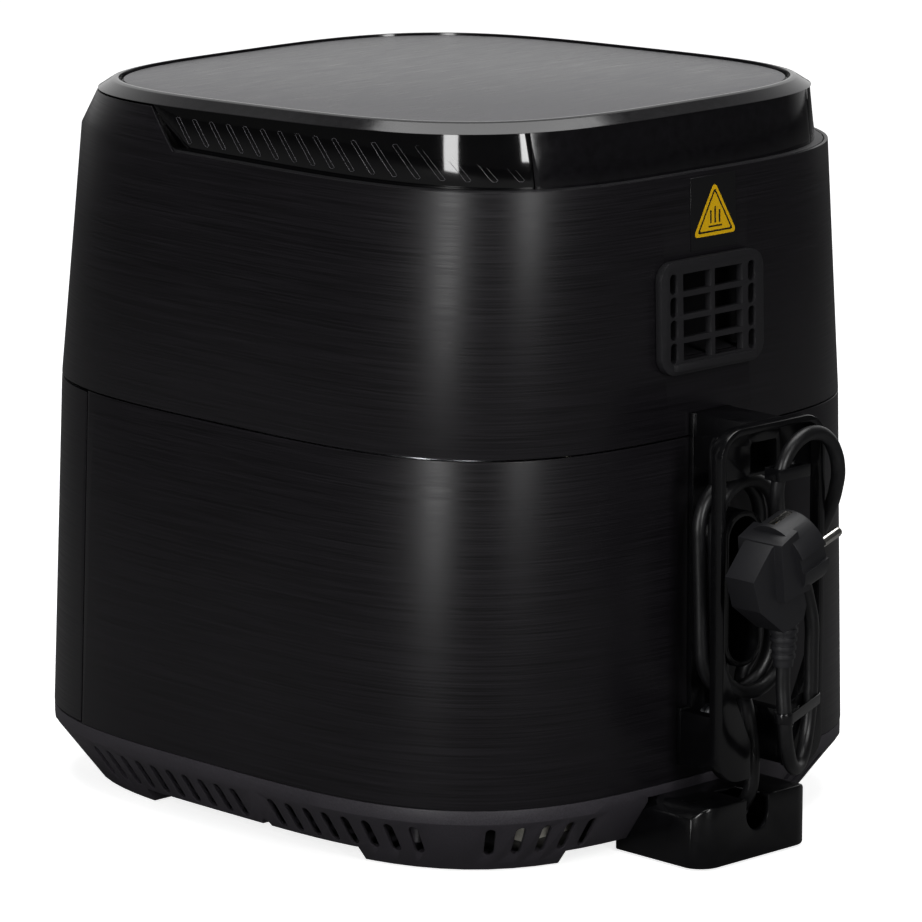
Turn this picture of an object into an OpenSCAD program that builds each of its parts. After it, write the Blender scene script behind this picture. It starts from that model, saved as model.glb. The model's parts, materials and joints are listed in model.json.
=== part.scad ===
// Basket air fryer: base tray, two wrapped shells, sliding drawer, heater and fan,
// rear exhaust grille, cord bracket and wound mains cord. Millimetres, +Z up, front at -Y.

/* [Body shell] */
// Width of the body at the base seam
base_w = 321; // [300:1:345]
// Depth of the body at the base seam
base_d = 358; // [340:1:385]
// Height of the base seam above the table
base_h = 36; // [32:1:42]
// Height of the lower shell, base seam to middle seam
lower_h = 168; // [160:1:195]
// Height of the upper shell, middle seam to the rear ledge
upper_h = 125; // [120:1:145]
// How much narrower the middle seam is than the base seam, each side
mid_inset = 6.4; // [3:0.1:9]
// How much narrower the rear ledge is than the base seam, each side
ledge_inset = 16; // [10:0.5:20]
// How far the ledge's outline sits in from the base seam, front and rear
ledge_inset_y = 8; // [5:0.5:12]
// How far the ledge's outline is set back from the front
ledge_shift = 4.5; // [2:0.5:7]
// Roundness of the plan outline, 2 is an ellipse
plan_power = 3.5; // [3:0.1:4.5]
// Wall of the wrapped shells
wrap_t = 1.8; // [1.2:0.1:2.4]
// Gap between shells that meet at a seam
seam_gap = 0.8; // [0.4:0.1:1.2]

/* [Top] */
// Height of the recessed belt above the rear ledge
belt_h = 21.5; // [18:0.5:26]
// Step from the shell's top edge in to the belt
belt_step = 5.5; // [4:0.5:7]
// Height of the chamfered rim above the belt
rim_h = 5; // [3:0.5:7]
// Width of the chamfer of the rim
rim_in = 6; // [4:0.5:9]
// Width of the flat top edge of the rim
rim_flat = 3; // [2:0.5:5]
// Rise of the top per millimetre towards the rear
top_slope = 0.03; // [0:0.005:0.05]
// Gap between the rim and the top panel
panel_gap = 2; // [1:0.5:3]
// Thickness of the top panel
panel_t = 2.5; // [2:0.5:4]

/* [Base] */
// How far the base slopes in at the table
foot_slope = 19; // [14:1:22]
// Height of the upright band under the base seam
band_h = 7; // [5:1:10]
// Ground clearance between the feet
skirt_h = 8; // [6:0.5:10]
// Length of the foot at each corner, along X
foot_x = 66; // [50:1:70]
// Length of the rear feet, along Y
foot_y = 74; // [60:1:80]
// Length of the front feet, along Y
front_foot_y = 98; // [80:1:100]
// Wall of the base tray
tray_t = 2.6; // [2:0.1:3.2]
// Radius of the rubber foot pads
pad_r = 11; // [8:0.5:13]
// How far a foot pad stands below its foot
pad_proud = 1; // [0.6:0.1:1.6]
// Height of the ventilation slots in the base
vent_h = 16; // [12:1:18]
// Width of the ventilation slots in the base
vent_w = 5; // [3:0.2:6]
// Distance between ventilation slots
vent_pitch = 11.6; // [10:0.2:12]

/* [Drawer and chamber] */
// Position of the seam between drawer front and lower shell
drawer_seam_y = -100; // [-110:1:-92]
// Width of the cooking chamber, outside
chamber_w = 268; // [250:1:276]
// Depth of the cooking chamber, outside
chamber_d = 258; // [240:1:264]
// Sheet thickness of the chamber liner
liner_t = 1.2; // [0.8:0.1:1.6]
// Width of the pan over its walls
pan_w = 248; // [230:1:256]
// Depth of the pan over its walls
pan_d = 238; // [220:1:244]
// Height of the pan
pan_h = 124; // [110:1:130]
// Wall of the pan
pan_t = 1.4; // [1:0.1:2]
// Corner radius of the pan
pan_r = 34; // [20:1:45]
// Diameter of the holes of the crisper plate
crisper_hole = 7; // [5:0.5:9]
// Clearance around the crisper plate
crisper_gap = 4; // [3:0.5:6]

/* [Handle] */
// How far the handle stands in front of the base
handle_reach = 43; // [36:1:46]
// Width of the handle bar
handle_w = 100; // [84:2:120]
// Height of the handle bar
handle_h = 24; // [20:1:30]
// Depth of the handle bar
handle_t = 15; // [12:1:18]
// Height of the middle of the handle
handle_z = 158; // [140:1:170]
// Distance between the handle posts
post_span = 82; // [64:2:100]
// Radius of the handle posts
post_r = 7; // [5:0.5:9]

/* [Fan and heater] */
// Diameter of the hot air fan
fan_d = 150; // [130:2:160]
// Diameter of the cooling fan
cool_d = 112; // [96:2:120]
// Radius of the motor shaft
shaft_r = 4; // [3:0.25:5]
// Radial running clearance of the shaft
shaft_gap = 0.05; // [0.02:0.01:0.08]
// Radius of the outer heater ring
heater_r = 90; // [84:1:94]
// Radius of the heater tube
heater_tube_r = 3.4; // [3:0.1:4]
// Radius of the heater reflector
reflector_r = 108; // [104:1:112]
// Radius of the motor can
motor_r = 38; // [34:1:44]

/* [Rear fittings] */
// Width of the exhaust grille
grille_w = 70; // [60:1:80]
// Height of the exhaust grille
grille_h = 54; // [48:1:60]
// Height of the middle of the exhaust grille
grille_z = 262; // [256:1:266]
// How far the cord bracket stands behind the base
bracket_reach = 43; // [40:1:46]
// Width of the cord bracket
bracket_w = 72; // [66:1:80]
// Lowest point of the cord bracket
bracket_z0 = 44; // [42:1:47]
// Highest point of the cord bracket
bracket_z1 = 215; // [212:1:218]
// Width of the cord outlet block
block_w = 78; // [70:1:84]
// How far the outlet block stands behind the base
block_reach = 35; // [33:1:37]
// Height of the cord outlet block
block_h = 31; // [29:1:34]
// Width of the slot that the cord leaves through
slot_w = 15; // [12:1:18]
// Diameter of the mains cord
cord_d = 7; // [6.4:0.1:7.2]

/* [Hidden] */

seg = 96;
fit = 0.3;
touch = 0.05;

// heights of the seams and of the top
mid_z = base_h + lower_h;
ledge_z = mid_z + upper_h;
rim_z = ledge_z + belt_h;
top_z = rim_z + rim_h;

// outline sections: [half width, half depth, shift along Y, height, slope of the section]
sec_table = [base_w / 2 - foot_slope, base_d / 2 - foot_slope, 0, 0, 0];
sec_band = [base_w / 2, base_d / 2, 0, base_h - band_h, 0];
sec_base = [base_w / 2, base_d / 2, 0, base_h, 0];
sec_mid = [base_w / 2 - mid_inset, base_d / 2 - 1.8, ledge_shift / 3, mid_z, 0];
sec_ledge = [base_w / 2 - ledge_inset, base_d / 2 - ledge_inset_y, ledge_shift, ledge_z, 0];
belt_a = sec_ledge[0] - belt_step;
belt_b = sec_ledge[1] - belt_step;
rim_b = belt_b - 3;
sec_belt = [belt_a, belt_b, ledge_shift, ledge_z, 0];
sec_rim = [belt_a, rim_b, ledge_shift, rim_z, top_slope];
sec_top = [belt_a - rim_in, rim_b - rim_in, ledge_shift, top_z, top_slope];
// top edge of the shell's raised front, flush with the rim above it
sec_brow = sec_rim - [0, 0, 0, seam_gap, 0];

function power_r(a, b, t) =
    pow(pow(abs(cos(t)) / a, plan_power) + pow(abs(sin(t)) / b, plan_power), -1 / plan_power);
function outline(s, inset = 0) = [for (i = [0:seg - 1])
    let (t = 360 * i / seg, r = power_r(s[0] - inset, s[1] - inset, t))
    [r * cos(t), r * sin(t) + s[2], s[3] + s[4] * (r * sin(t) + s[2])]];
function blend(a, b, k) = a + (b - a) * k;
// section of the outer skin at height z
function skin(z) =
    z < sec_band[3] ? blend(sec_table, sec_band, z / sec_band[3])
    : z < base_h ? sec_base - [0, 0, 0, base_h - z, 0]
    : z < mid_z ? blend(sec_base, sec_mid, (z - base_h) / lower_h)
    : blend(sec_mid, sec_ledge, (z - mid_z) / upper_h);
// rear face of the skin at height z on the middle plane
function rear_y(z) = skin(z)[1] + skin(z)[2];
function front_y(z) = skin(z)[2] - skin(z)[1];
// rear or front face of the skin at height z and offset x
function skin_y(z, x, way) = skin(z)[2] + way * skin(z)[1]
    * pow(1 - pow(abs(x) / skin(z)[0], plan_power), 1 / plan_power);

// solid through a stack of sections, each with its own inset
module loft(sections, insets) {
    n = len(sections);
    pts = [for (k = [0:n - 1]) each outline(sections[k], insets[k])];
    walls = [for (k = [0:n - 2], i = [0:seg - 1])
        let (j = (i + 1) % seg)
        [k * seg + i, (k + 1) * seg + i, (k + 1) * seg + j, k * seg + j]];
    polyhedron(concat(pts), concat([[for (i = [0:seg - 1]) i]], walls,
        [[for (i = [seg - 1:-1:0]) (n - 1) * seg + i]]), convexity = 6);
}
// closed hoop: outer sections upwards, then inner sections downwards
module hoop(sections, wall) {
    n = len(sections);
    stack = concat([for (s = sections) outline(s, 0)],
        [for (k = [n - 1:-1:0]) outline(sections[k], wall)]);
    m = len(stack);
    faces = [for (k = [0:m - 1], i = [0:seg - 1])
        let (j = (i + 1) % seg, q = (k + 1) % m)
        [k * seg + i, q * seg + i, q * seg + j, k * seg + j]];
    polyhedron([for (s = stack) each s], faces, convexity = 8);
}
module box(lo, hi) {
    translate(lo) cube(hi - lo);
}
module rounded_plate(w, h, r) {
    square([w - 2 * r, h], center = true);
    square([w, h - 2 * r], center = true);
    for (x = [-1, 1], y = [-1, 1])
        translate([x * (w / 2 - r), y * (h / 2 - r)]) circle(r, $fn = 32);
}
// stands a flat shape on the XZ plane, from y0 towards the rear
module upright(y0, depth) {
    translate([0, y0 + depth, 0]) rotate([90, 0, 0]) linear_extrude(depth) children();
}
module screw(r, length, head_r, head_h) {
    cylinder(r = r, h = length, $fn = 24);
    translate([0, 0, length]) cylinder(r = head_r, h = head_h, $fn = 32);
}
module at_corners(x, y) {
    for (i = [-1, 1], j = [-1, 1]) translate([i * x, j * y, 0]) children();
}

// ---- base ----
floor_z = skirt_h + tray_t;
pad_in_x = 37;
pad_in_y = 40;
pad_x = sec_table[0] - pad_in_x;
pad_y = sec_table[1] - pad_in_y;
pad_t = 3;
base_screw_r = 1.7;
base_boss_r = 5;
base_boss_x = 118;
base_boss_y = 104;
screw_head_r = 3.2;
notch_r = 3;
block_y1 = base_d / 2 + block_reach;
block_y0 = base_d / 2 - 22;
vent_z = 18;
front_vents = 10;
rear_vents = 8;
corner_vents = 5;
vent_y = -90;
rear_vent_y = 41;
corner_vent_x = 70;

function normal_angle(s, x, y) = atan2(sign(y) * pow(abs(y) / s[1], plan_power - 1) / s[1],
    sign(x) * pow(abs(x) / s[0], plan_power - 1) / s[0]);
function skin_x(z, y) = skin(z)[0] * pow(1 - pow(abs(y) / skin(z)[1], plan_power), 1 / plan_power);

// ventilation slot through the base wall at x, y, square to the outline
module vent_slot(x, y) {
    translate([x, y, vent_z]) rotate([90, 0, 90 + normal_angle(skin(vent_z), x, y)])
        linear_extrude(30, center = true) {
            square([vent_w, vent_h - vent_w], center = true);
            for (s = [-1, 1])
                translate([0, s * (vent_h - vent_w) / 2]) circle(vent_w / 2, $fn = 16);
        }
}
module side_vents() {
    for (side = [-1, 1]) {
        for (i = [0:front_vents - 1]) let (y = vent_y + i * vent_pitch)
            vent_slot(side * skin_x(vent_z, y), y);
        for (i = [0:rear_vents - 1]) let (y = rear_vent_y + i * vent_pitch)
            vent_slot(side * skin_x(vent_z, y), y);
        for (i = [0:corner_vents - 1]) let (x = corner_vent_x + i * vent_pitch)
            vent_slot(side * x, skin_y(vent_z, x, 1));
    }
}
module base_tray() {
    color("#17171a") difference() {
        union() {
            difference() {
                loft([sec_table + [0, 0, 0, pad_proud, 0], sec_band, sec_base - [0, 0, 0, fit, 0]],
                    [0, 0, 0]);
                loft([skin(floor_z), sec_band, sec_base + [0, 0, 0, 1, 0]], [tray_t, tray_t, tray_t]);
            }
            at_corners(base_boss_x, base_boss_y) translate([0, 0, floor_z - tray_t / 2])
                cylinder(r = base_boss_r, h = base_h - floor_z, $fn = 32);
        }
        // open ground between the feet, side to side and front to rear
        box([-base_w / 2, front_foot_y - sec_table[1], -1], [base_w / 2, sec_table[1] - foot_y, skirt_h]);
        box([foot_x - sec_table[0], -base_d / 2, -1], [sec_table[0] - foot_x, base_d / 2, skirt_h]);
        side_vents();
        for (side = [-1, 1]) translate([side * skin_x(skirt_h, 27), 27, skirt_h])
            rotate([0, 90, 0]) cylinder(r = notch_r, h = 14, center = true, $fn = 24);
        at_corners(pad_x, pad_y) translate([0, 0, -1])
            cylinder(r = pad_r + touch, h = 1 + pad_t + touch, $fn = 48);
        at_corners(base_boss_x, base_boss_y) {
            translate([0, 0, -1]) cylinder(r = base_screw_r + touch, h = base_h + 2, $fn = 24);
            translate([0, 0, -1]) cylinder(r = screw_head_r + fit, h = skirt_h + 1, $fn = 32);
        }
        // seat of the cord outlet block
        box([-block_w / 2 - touch, block_y0 - touch, -1],
            [block_w / 2 + touch, base_d / 2 + 5, block_h + touch]);
    }
}
module foot_pads() {
    color("#0c0c0d") at_corners(pad_x, pad_y) cylinder(r = pad_r, h = pad_t, $fn = 48);
}
// screws that hold the chamber to the base tray, driven from below
module base_screws() {
    color("#8c8c90") at_corners(base_boss_x, base_boss_y) translate([0, 0, base_h + 4])
        mirror([0, 0, 1]) screw(base_screw_r, base_h + 4 - skirt_h, screw_head_r, 1.6);
}

// ---- shells ----
mid_bottom = mid_z - seam_gap;
label_w = 31;
label_h = 35;
label_x = -5;
label_z = 309;
label_t = 0.3;
grille_frame = 7;
cut_y0 = -66;
cut_y1 = -40;
bracket_screw_z = [66, 198];
bracket_screw_r = 2;

module lower_shell() {
    color("#111114") difference() {
        intersection() {
            hoop([sec_base, skin(blend(base_h, mid_bottom, 0.5)), skin(mid_bottom)], wrap_t);
            box([-base_w, drawer_seam_y, 0], [base_w, base_d, mid_z]);
        }
        for (z = bracket_screw_z) translate([0, base_d / 2, z])
            rotate([90, 0, 0]) cylinder(r = bracket_screw_r + touch, h = 30, center = true, $fn = 24);
    }
}
// everything above the ledge and behind the slanted end of the shell's raised front
module behind_cut(gap) {
    translate([-base_w, 0, 0]) rotate([90, 0, 90]) linear_extrude(2 * base_w)
        polygon([[cut_y1 + gap, ledge_z], [base_d, ledge_z], [base_d, top_z + 20],
            [cut_y0 - 6 + gap, top_z + 20], [cut_y0 + gap, rim_z]]);
}
// the part of the upper shell above the rear ledge is kept only in front of the slanted cut
module upper_shell() {
    color("#111114") difference() {
        hoop([sec_mid, skin(blend(mid_z, ledge_z, 0.5)), sec_ledge, sec_brow], wrap_t);
        behind_cut(0);
        panel_window(fit);
        box([-grille_w / 2 + grille_frame, 0, grille_z - grille_h / 2 + grille_frame],
            [grille_w / 2 - grille_frame, base_d, grille_z + grille_h / 2 - grille_frame]);
    }
}

// ---- control panel ----
panel_w = 196;
panel_z0 = mid_z + 22;
panel_z1 = rim_z - 12;
panel_thick = wrap_t;
module panel_window(grow) {
    box([-panel_w / 2 - grow, -base_d, panel_z0 - grow], [panel_w / 2 + grow, -60, panel_z1 + grow]);
}
module control_panel() {
    color("#050506") intersection() {
        hoop([sec_mid, skin(blend(mid_z, ledge_z, 0.5)), sec_ledge, sec_brow], panel_thick);
        panel_window(0);
    }
}
module control_board() {
    board_y = front_y(panel_z1) + 16;
    z0 = panel_z0 + 10;
    color("#1f5c38") {
        box([-80, board_y, z0], [80, board_y + 1.6, z0 + 80]);
        box([-34, skin_y(z0 + 50, 34, -1) + panel_thick + fit, z0 + 20], [34, board_y, z0 + 50]);
        for (x = [-70, 70]) box([x - 3, skin_y(z0 + 8, abs(x) + 3, -1) + panel_thick + fit, z0 + 2],
            [x + 3, board_y, z0 + 8]);
    }
}

// ---- frame, roof and top ----
frame_t = 3;
frame_z = mid_z + 1;
frame_top = frame_z + frame_t;
loom_r = 2.5;
roof_t = 3;
panel_sink = 1;
deck_t = rim_h - panel_sink - panel_t - touch;
belt_t = 3;
rim_tuck = 0.8;
insert_end_x = 94;

module middle_frame() {
    color("#4a4a4e") difference() {
        loft([skin(frame_z), skin(frame_top)], [wrap_t + fit, wrap_t + fit]);
        translate([0, 0, frame_z - 1]) cylinder(r = reflector_r + touch, h = frame_t + 2, $fn = 96);
        translate([loom_x, loom_y, frame_z - 1]) cylinder(r = loom_r + 3, h = frame_t + 2, $fn = 32);
    }
}
module roof_tray() {
    color("#151517") loft([skin(ledge_z - roof_t), sec_ledge], [wrap_t + touch, wrap_t + touch]);
}
// belt under the rim, tucked in a little so that the rim stands proud of it
module belt_band(gap, rise) {
    intersection() {
        hoop([sec_belt, sec_rim + [-rim_tuck, -rim_tuck, 0, rise, 0]], belt_t);
        behind_cut(gap);
    }
}
module top_rim() {
    color("#101012") {
        hoop([sec_rim, sec_top], rim_flat);
        loft([sec_rim + [0, 0, 0, 0.2, 0], sec_rim + [0, 0, 0, deck_t, 0]], [2, 2.4]);
        intersection() {
            belt_band(seam_gap, 0.5);
            box([-insert_end_x, 0, ledge_z], [insert_end_x, base_d, top_z + 20]);
        }
    }
}
module belt_insert(side) {
    intersection() {
        belt_band(seam_gap, -touch);
        translate([side > 0 ? insert_end_x + seam_gap / 2 : -base_w, -base_d, ledge_z])
            cube([base_w - insert_end_x - seam_gap / 2, 2 * base_d, 60]);
    }
}
module belt_insert_left() {
    color("#08080a") belt_insert(1);
}
module belt_insert_right() {
    color("#08080a") belt_insert(-1);
}
module top_panel() {
    color("#3a3a3f") loft([sec_top - [0, 0, 0, panel_sink + panel_t, 0], sec_top - [0, 0, 0, panel_sink, 0]],
        [rim_flat + panel_gap, rim_flat + panel_gap]);
}
module power_board() {
    z0 = ledge_z - roof_t - 14;
    color("#1f5c38") {
        box([66, -66, z0], [122, 66, z0 + 1.6]);
        for (x = [70, 118], y = [-60, 60]) translate([x, y, z0]) cylinder(r = 2.5, h = 14, $fn = 24);
        box([74, -40, z0 - 18], [104, -10, z0]);
        box([78, 6, z0 - 16], [94, 28, z0]);
        for (y = [36, 50]) translate([102, y, z0 - 20]) cylinder(r = 6, h = 20, $fn = 32);
    }
}

// ---- cooking chamber ----
chamber_y0 = drawer_seam_y - 21;
chamber_y1 = chamber_y0 + chamber_d;
chamber_z0 = base_h + 5;
chamber_r = 34;
shield_gap = 7;
shield_t = 0.8;
shield_y0 = -80;
runner_x = 96;
runner_w = 10;
pan_z0 = base_h + 13;
pan_y = chamber_y0 + 3 + pan_d / 2;
guard_r = reflector_r - 9;

module chamber_outline(grow) {
    r = chamber_r + grow;
    w = chamber_w / 2 + grow;
    translate([-w, chamber_y0]) square([2 * w, chamber_d + grow - r]);
    translate([-w + r, chamber_y0]) square([2 * (w - r), chamber_d + grow]);
    for (side = [-1, 1]) translate([side * (w - r), chamber_y1 + grow - r]) circle(r, $fn = 64);
}
module chamber_liner() {
    color("#b9bcc0") difference() {
        union() {
            translate([0, 0, chamber_z0]) linear_extrude(frame_z - chamber_z0) chamber_outline(0);
            at_corners(base_boss_x, base_boss_y) translate([0, 0, boss_top])
                cylinder(r = 4, h = chamber_z0 - boss_top + liner_t / 2, $fn = 32);
        }
        for (y = [0, -15]) translate([0, y, chamber_z0 + liner_t])
            linear_extrude(frame_z - chamber_z0 - 2 * liner_t) chamber_outline(-liner_t);
        translate([0, 0, frame_z - 5]) cylinder(r = guard_r, h = 10, $fn = 96);
        at_corners(base_boss_x, base_boss_y) translate([0, 0, boss_top - 1])
            cylinder(r = base_screw_r + touch, h = chamber_z0 - boss_top, $fn = 24);
    }
}
boss_top = base_h - tray_t / 2;
module heat_shield() {
    color("#9fa2a6") translate([0, 0, base_h + 3]) linear_extrude(frame_z - base_h - 3)
        intersection() {
            difference() {
                chamber_outline(shield_gap + shield_t);
                chamber_outline(shield_gap);
            }
            translate([-base_w, shield_y0]) square([2 * base_w, base_d]);
        }
}
module drawer_runners() {
    color("#2b2b2e") for (side = [-1, 1])
        translate([side * runner_x - runner_w / 2, chamber_y0 + 3, chamber_z0 + liner_t])
            cube([runner_w, chamber_d - 24, pan_z0 - fit - chamber_z0 - liner_t]);
}
switch_t = 4.2;

module drawer_switch() {
    x0 = chamber_w / 2 + fit;
    color("#26262a") {
        box([x0, chamber_y0 + 4, frame_z - 22], [x0 + switch_t, chamber_y0 + 23, frame_z]);
        box([x0 + 1, inner_y + fit, frame_z - 16], [x0 + switch_t - 1, chamber_y0 + 4, frame_z - 10]);
    }
}

// ---- heater and fan ----
reflector_t = 1.2;
reflector_top = frame_top + 32;
element_z = frame_top + 4;
fan_z = frame_top + 7;
blade_h = 13;
bracket_plate_z = reflector_top + 7;
motor_z0 = bracket_plate_z + 2;
motor_h = 41;
bearing_r = 10;
rotor_r = 23.5;
rotor_z = motor_z0 + 7;
rotor_h = 22;
cool_z = motor_z0 + motor_h + 4;
shaft_top = cool_z + 16;
element_pins = [-8, 8];
terminal_r = heater_tube_r + 0.4;
clip_angles = [90, 210, 330];

module reflector() {
    color("#c9ccd0") difference() {
        union() {
            translate([0, 0, frame_z]) cylinder(r = reflector_r, h = reflector_top - frame_z, $fn = 96);
            translate([0, 0, frame_top]) cylinder(r = reflector_r + 8, h = reflector_t, $fn = 96);
        }
        translate([0, 0, frame_z - 1])
            cylinder(r = reflector_r - reflector_t, h = reflector_top - reflector_t - frame_z + 1, $fn = 96);
        cylinder(r = shaft_r + 2, h = 2 * reflector_top, $fn = 48);
        for (a = element_pins) rotate(a) translate([heater_r, 0, 0])
            cylinder(r = terminal_r + touch, h = 2 * reflector_top, $fn = 32);
    }
}
module heating_element() {
    color("#6e7074") {
        translate([0, 0, element_z]) rotate(element_pins[1])
            rotate_extrude(angle = 360 - 2 * element_pins[1], $fn = 96)
                translate([heater_r, 0]) circle(heater_tube_r, $fn = 24);
        for (a = element_pins) rotate(a) translate([heater_r, 0, element_z - terminal_r])
            cylinder(r = terminal_r, h = reflector_top + 8 + terminal_r - element_z, $fn = 24);
    }
}
clip_w = 6;
module element_clips() {
    color("#a8aaae") for (a = clip_angles) rotate(a) difference() {
        translate([heater_r - 6, -clip_w / 2, element_z - heater_tube_r - 2])
            cube([reflector_r - reflector_t - 0.1 - heater_r + 6, clip_w, 5 + heater_tube_r * 2]);
        translate([0, 0, element_z]) rotate_extrude($fn = 96)
            translate([heater_r, 0]) circle(heater_tube_r + touch, $fn = 24);
    }
}
module heater_guard() {
    color("#b4b6ba") {
        for (r = [guard_r * 0.25, guard_r * 0.5, guard_r * 0.75]) translate([0, 0, frame_z - 8])
            rotate_extrude($fn = 96) translate([r, 0]) square([2, 2]);
        difference() {
            translate([0, 0, frame_z - 8]) cylinder(r = guard_r - touch, h = 8, $fn = 96);
            translate([0, 0, frame_z - 9]) cylinder(r = guard_r - 2, h = 10, $fn = 96);
        }
        for (a = [0, 60, 120]) rotate(a) translate([0, 0, frame_z - 7])
            cube([2 * guard_r - 3, 2, 2], center = true);
    }
}
module thermal_fuse() {
    color("#d8d8d2") translate([-62, -50, reflector_top + touch]) {
        box([-8, -5, 0], [8, 5, 7]);
        for (x = [-11, 8]) box([x, -3, 0], [x + 3, 3, 1.2]);
    }
}
module temperature_probe() {
    color("#c4c6ca") translate([0, -106, 0]) {
        translate([0, 0, frame_z - 20]) cylinder(r = 2, h = 18, $fn = 24);
        translate([0, 0, frame_z - 2 - liner_t + 0.05]) cylinder(r = 5, h = 2 - 2 * touch, $fn = 32);
    }
}
module motor_bracket() {
    color("#8e9094") difference() {
        union() {
            box([-74, -20, bracket_plate_z], [74, 20, motor_z0]);
            for (x = [-74, 60]) box([x, -12, reflector_top + touch], [x + 14, 12, reflector_top + 1.6]);
            for (x = [-74, 71]) box([x, -12, reflector_top + touch], [x + 3, 12, bracket_plate_z + 1]);
        }
        translate([0, 0, bracket_plate_z - 1]) cylinder(r = bearing_r + touch, h = 10, $fn = 64);
        for (x = [-motor_screw_x, motor_screw_x]) translate([x, 0, bracket_plate_z - 1])
            cylinder(r = motor_screw_r + touch, h = 10, $fn = 24);
    }
}
motor_screw_x = motor_r + 5;
motor_screw_r = 1.5;
flange_t = 1.6;
can_t = 1.2;
module motor_can() {
    color("#77797d") difference() {
        union() {
            translate([0, 0, motor_z0]) cylinder(r = motor_r, h = motor_h, $fn = 96);
            translate([0, 0, motor_z0]) linear_extrude(flange_t) {
                circle(motor_r + 1, $fn = 96);
                square([2 * motor_screw_x + 8, 12], center = true);
            }
        }
        translate([0, 0, motor_z0 - 1]) cylinder(r = motor_r - can_t, h = motor_h - can_t + 1, $fn = 96);
        translate([0, 0, motor_z0 + motor_h - 5]) cylinder(r = bearing_r + touch, h = 10, $fn = 64);
        for (x = [-motor_screw_x, motor_screw_x]) translate([x, 0, motor_z0 - 1])
            cylinder(r = motor_screw_r + touch, h = 10, $fn = 24);
    }
}
module motor_screws() {
    color("#8c8c90") for (x = [-motor_screw_x, motor_screw_x])
        translate([x, 0, bracket_plate_z + 0.2]) screw(motor_screw_r, 2 + flange_t - 0.2, 2.8, 1.8);
}
module motor_stator() {
    color("#a4552a") translate([0, 0, rotor_z]) difference() {
        cylinder(r = motor_r - can_t - touch, h = rotor_h, $fn = 96);
        translate([0, 0, -1]) cylinder(r = rotor_r + 0.6, h = rotor_h + 2, $fn = 96);
    }
}
module shaft_bearings() {
    color("#b8862c") for (z = [bracket_plate_z - 2, motor_z0 + motor_h - can_t - 2]) translate([0, 0, z])
        difference() {
            cylinder(r = bearing_r, h = 6, $fn = 64);
            translate([0, 0, -1]) cylinder(r = shaft_r + shaft_gap, h = 8, $fn = 48);
        }
}
module motor_shaft() {
    color("#c2c4c8") translate([0, 0, fan_z - 5]) cylinder(r = shaft_r, h = shaft_top - fan_z + 5, $fn = 48);
}
module motor_rotor() {
    color("#5c5e62") translate([0, 0, rotor_z]) difference() {
        cylinder(r = rotor_r, h = rotor_h, $fn = 96);
        translate([0, 0, -1]) cylinder(r = shaft_r + touch, h = rotor_h + 2, $fn = 48);
    }
}
// fan wheel: a hub bored for the shaft, a disc and blades that lean by the given angle
module fan_wheel(d, z, blades, lean, disc_z) {
    translate([0, 0, z]) difference() {
        union() {
            cylinder(r = shaft_r + 5, h = blade_h + 2, $fn = 48);
            translate([0, 0, disc_z]) cylinder(r = d / 2, h = 1.2, $fn = 96);
            for (i = [0:blades - 1]) rotate(i * 360 / blades) translate([d / 6, 0, 0.6]) rotate(lean)
                cube([d / 3 - 4, 1.2, blade_h]);
        }
        translate([0, 0, -1]) cylinder(r = shaft_r + touch, h = blade_h + 4, $fn = 48);
    }
}
module hot_air_fan() {
    color("#c6c8cc") fan_wheel(fan_d, fan_z, 12, 24, blade_h);
}
module cooling_fan() {
    color("#d8d8da") fan_wheel(cool_d, cool_z, 9, 20, 0.4);
}

// ---- drawer ----
inner_gap = 0.3;
front_t = 2.2;
inner_t = 2.5;
drawer_z0 = base_h + seam_gap;
drawer_z1 = mid_bottom - seam_gap;
inner_y = chamber_y0 - 0.5;
post_hole_r = post_r + 0.15;
post_head_r = post_r + 1.2;
post_y = skin_y(handle_z, post_span / 2 + post_head_r, -1) + front_t + inner_gap + inner_t + fit;
rim_flange = 3;
pan_screw_r = 2;
pan_screw_x = [-50, 50];
pan_screw_z = [pan_z0 + 62, pan_z0 + 96];
bracket_plate_w = 150;
crisper_z = pan_z0 + pan_t + 14;
crisper_t = 1.4;
crisper_w = pan_w - 2 * pan_t - 2 * crisper_gap;
crisper_d = pan_d - 2 * pan_t - 2 * crisper_gap;
crisper_pitch = 19;
bumper_t = crisper_gap - fit - touch;
bumper_mid = touch + bumper_t / 2;
crisper_r = pan_r - pan_t - crisper_gap;

module at_posts() {
    for (side = [-1, 1]) translate([side * post_span / 2, 0, handle_z]) rotate([90, 0, 0]) children();
}
module drawer_front() {
    color("#0e0e11") difference() {
        intersection() {
            hoop([skin(drawer_z0), skin(blend(drawer_z0, drawer_z1, 0.5)), skin(drawer_z1)], front_t);
            box([-base_w, -base_d, 0], [base_w, drawer_seam_y - seam_gap, mid_z]);
        }
        at_posts() cylinder(r = post_hole_r, h = base_d, $fn = 48);
    }
}
module drawer_inner() {
    near = front_t + inner_gap;
    color("#1b1b1e") difference() {
        intersection() {
            loft([skin(drawer_z0 + 1), skin(drawer_z1 - 1)], [near, near]);
            box([-base_w, -base_d, 0], [base_w, inner_y, mid_z]);
        }
        intersection() {
            loft([skin(drawer_z0 + 1 + inner_t), skin(drawer_z1 - 1 - inner_t)],
                [near + inner_t, near + inner_t]);
            box([-base_w, -base_d, 0], [base_w, inner_y - inner_t, mid_z]);
        }
        at_posts() cylinder(r = post_hole_r, h = base_d, $fn = 48);
        pan_screw_holes(inner_y - inner_t - 1, inner_t + 2);
    }
}
module pan_screw_holes(y, depth) {
    for (x = pan_screw_x, z = pan_screw_z) translate([x, y + depth, z]) rotate([90, 0, 0])
        cylinder(r = pan_screw_r + touch, h = depth, $fn = 24);
}
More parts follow.
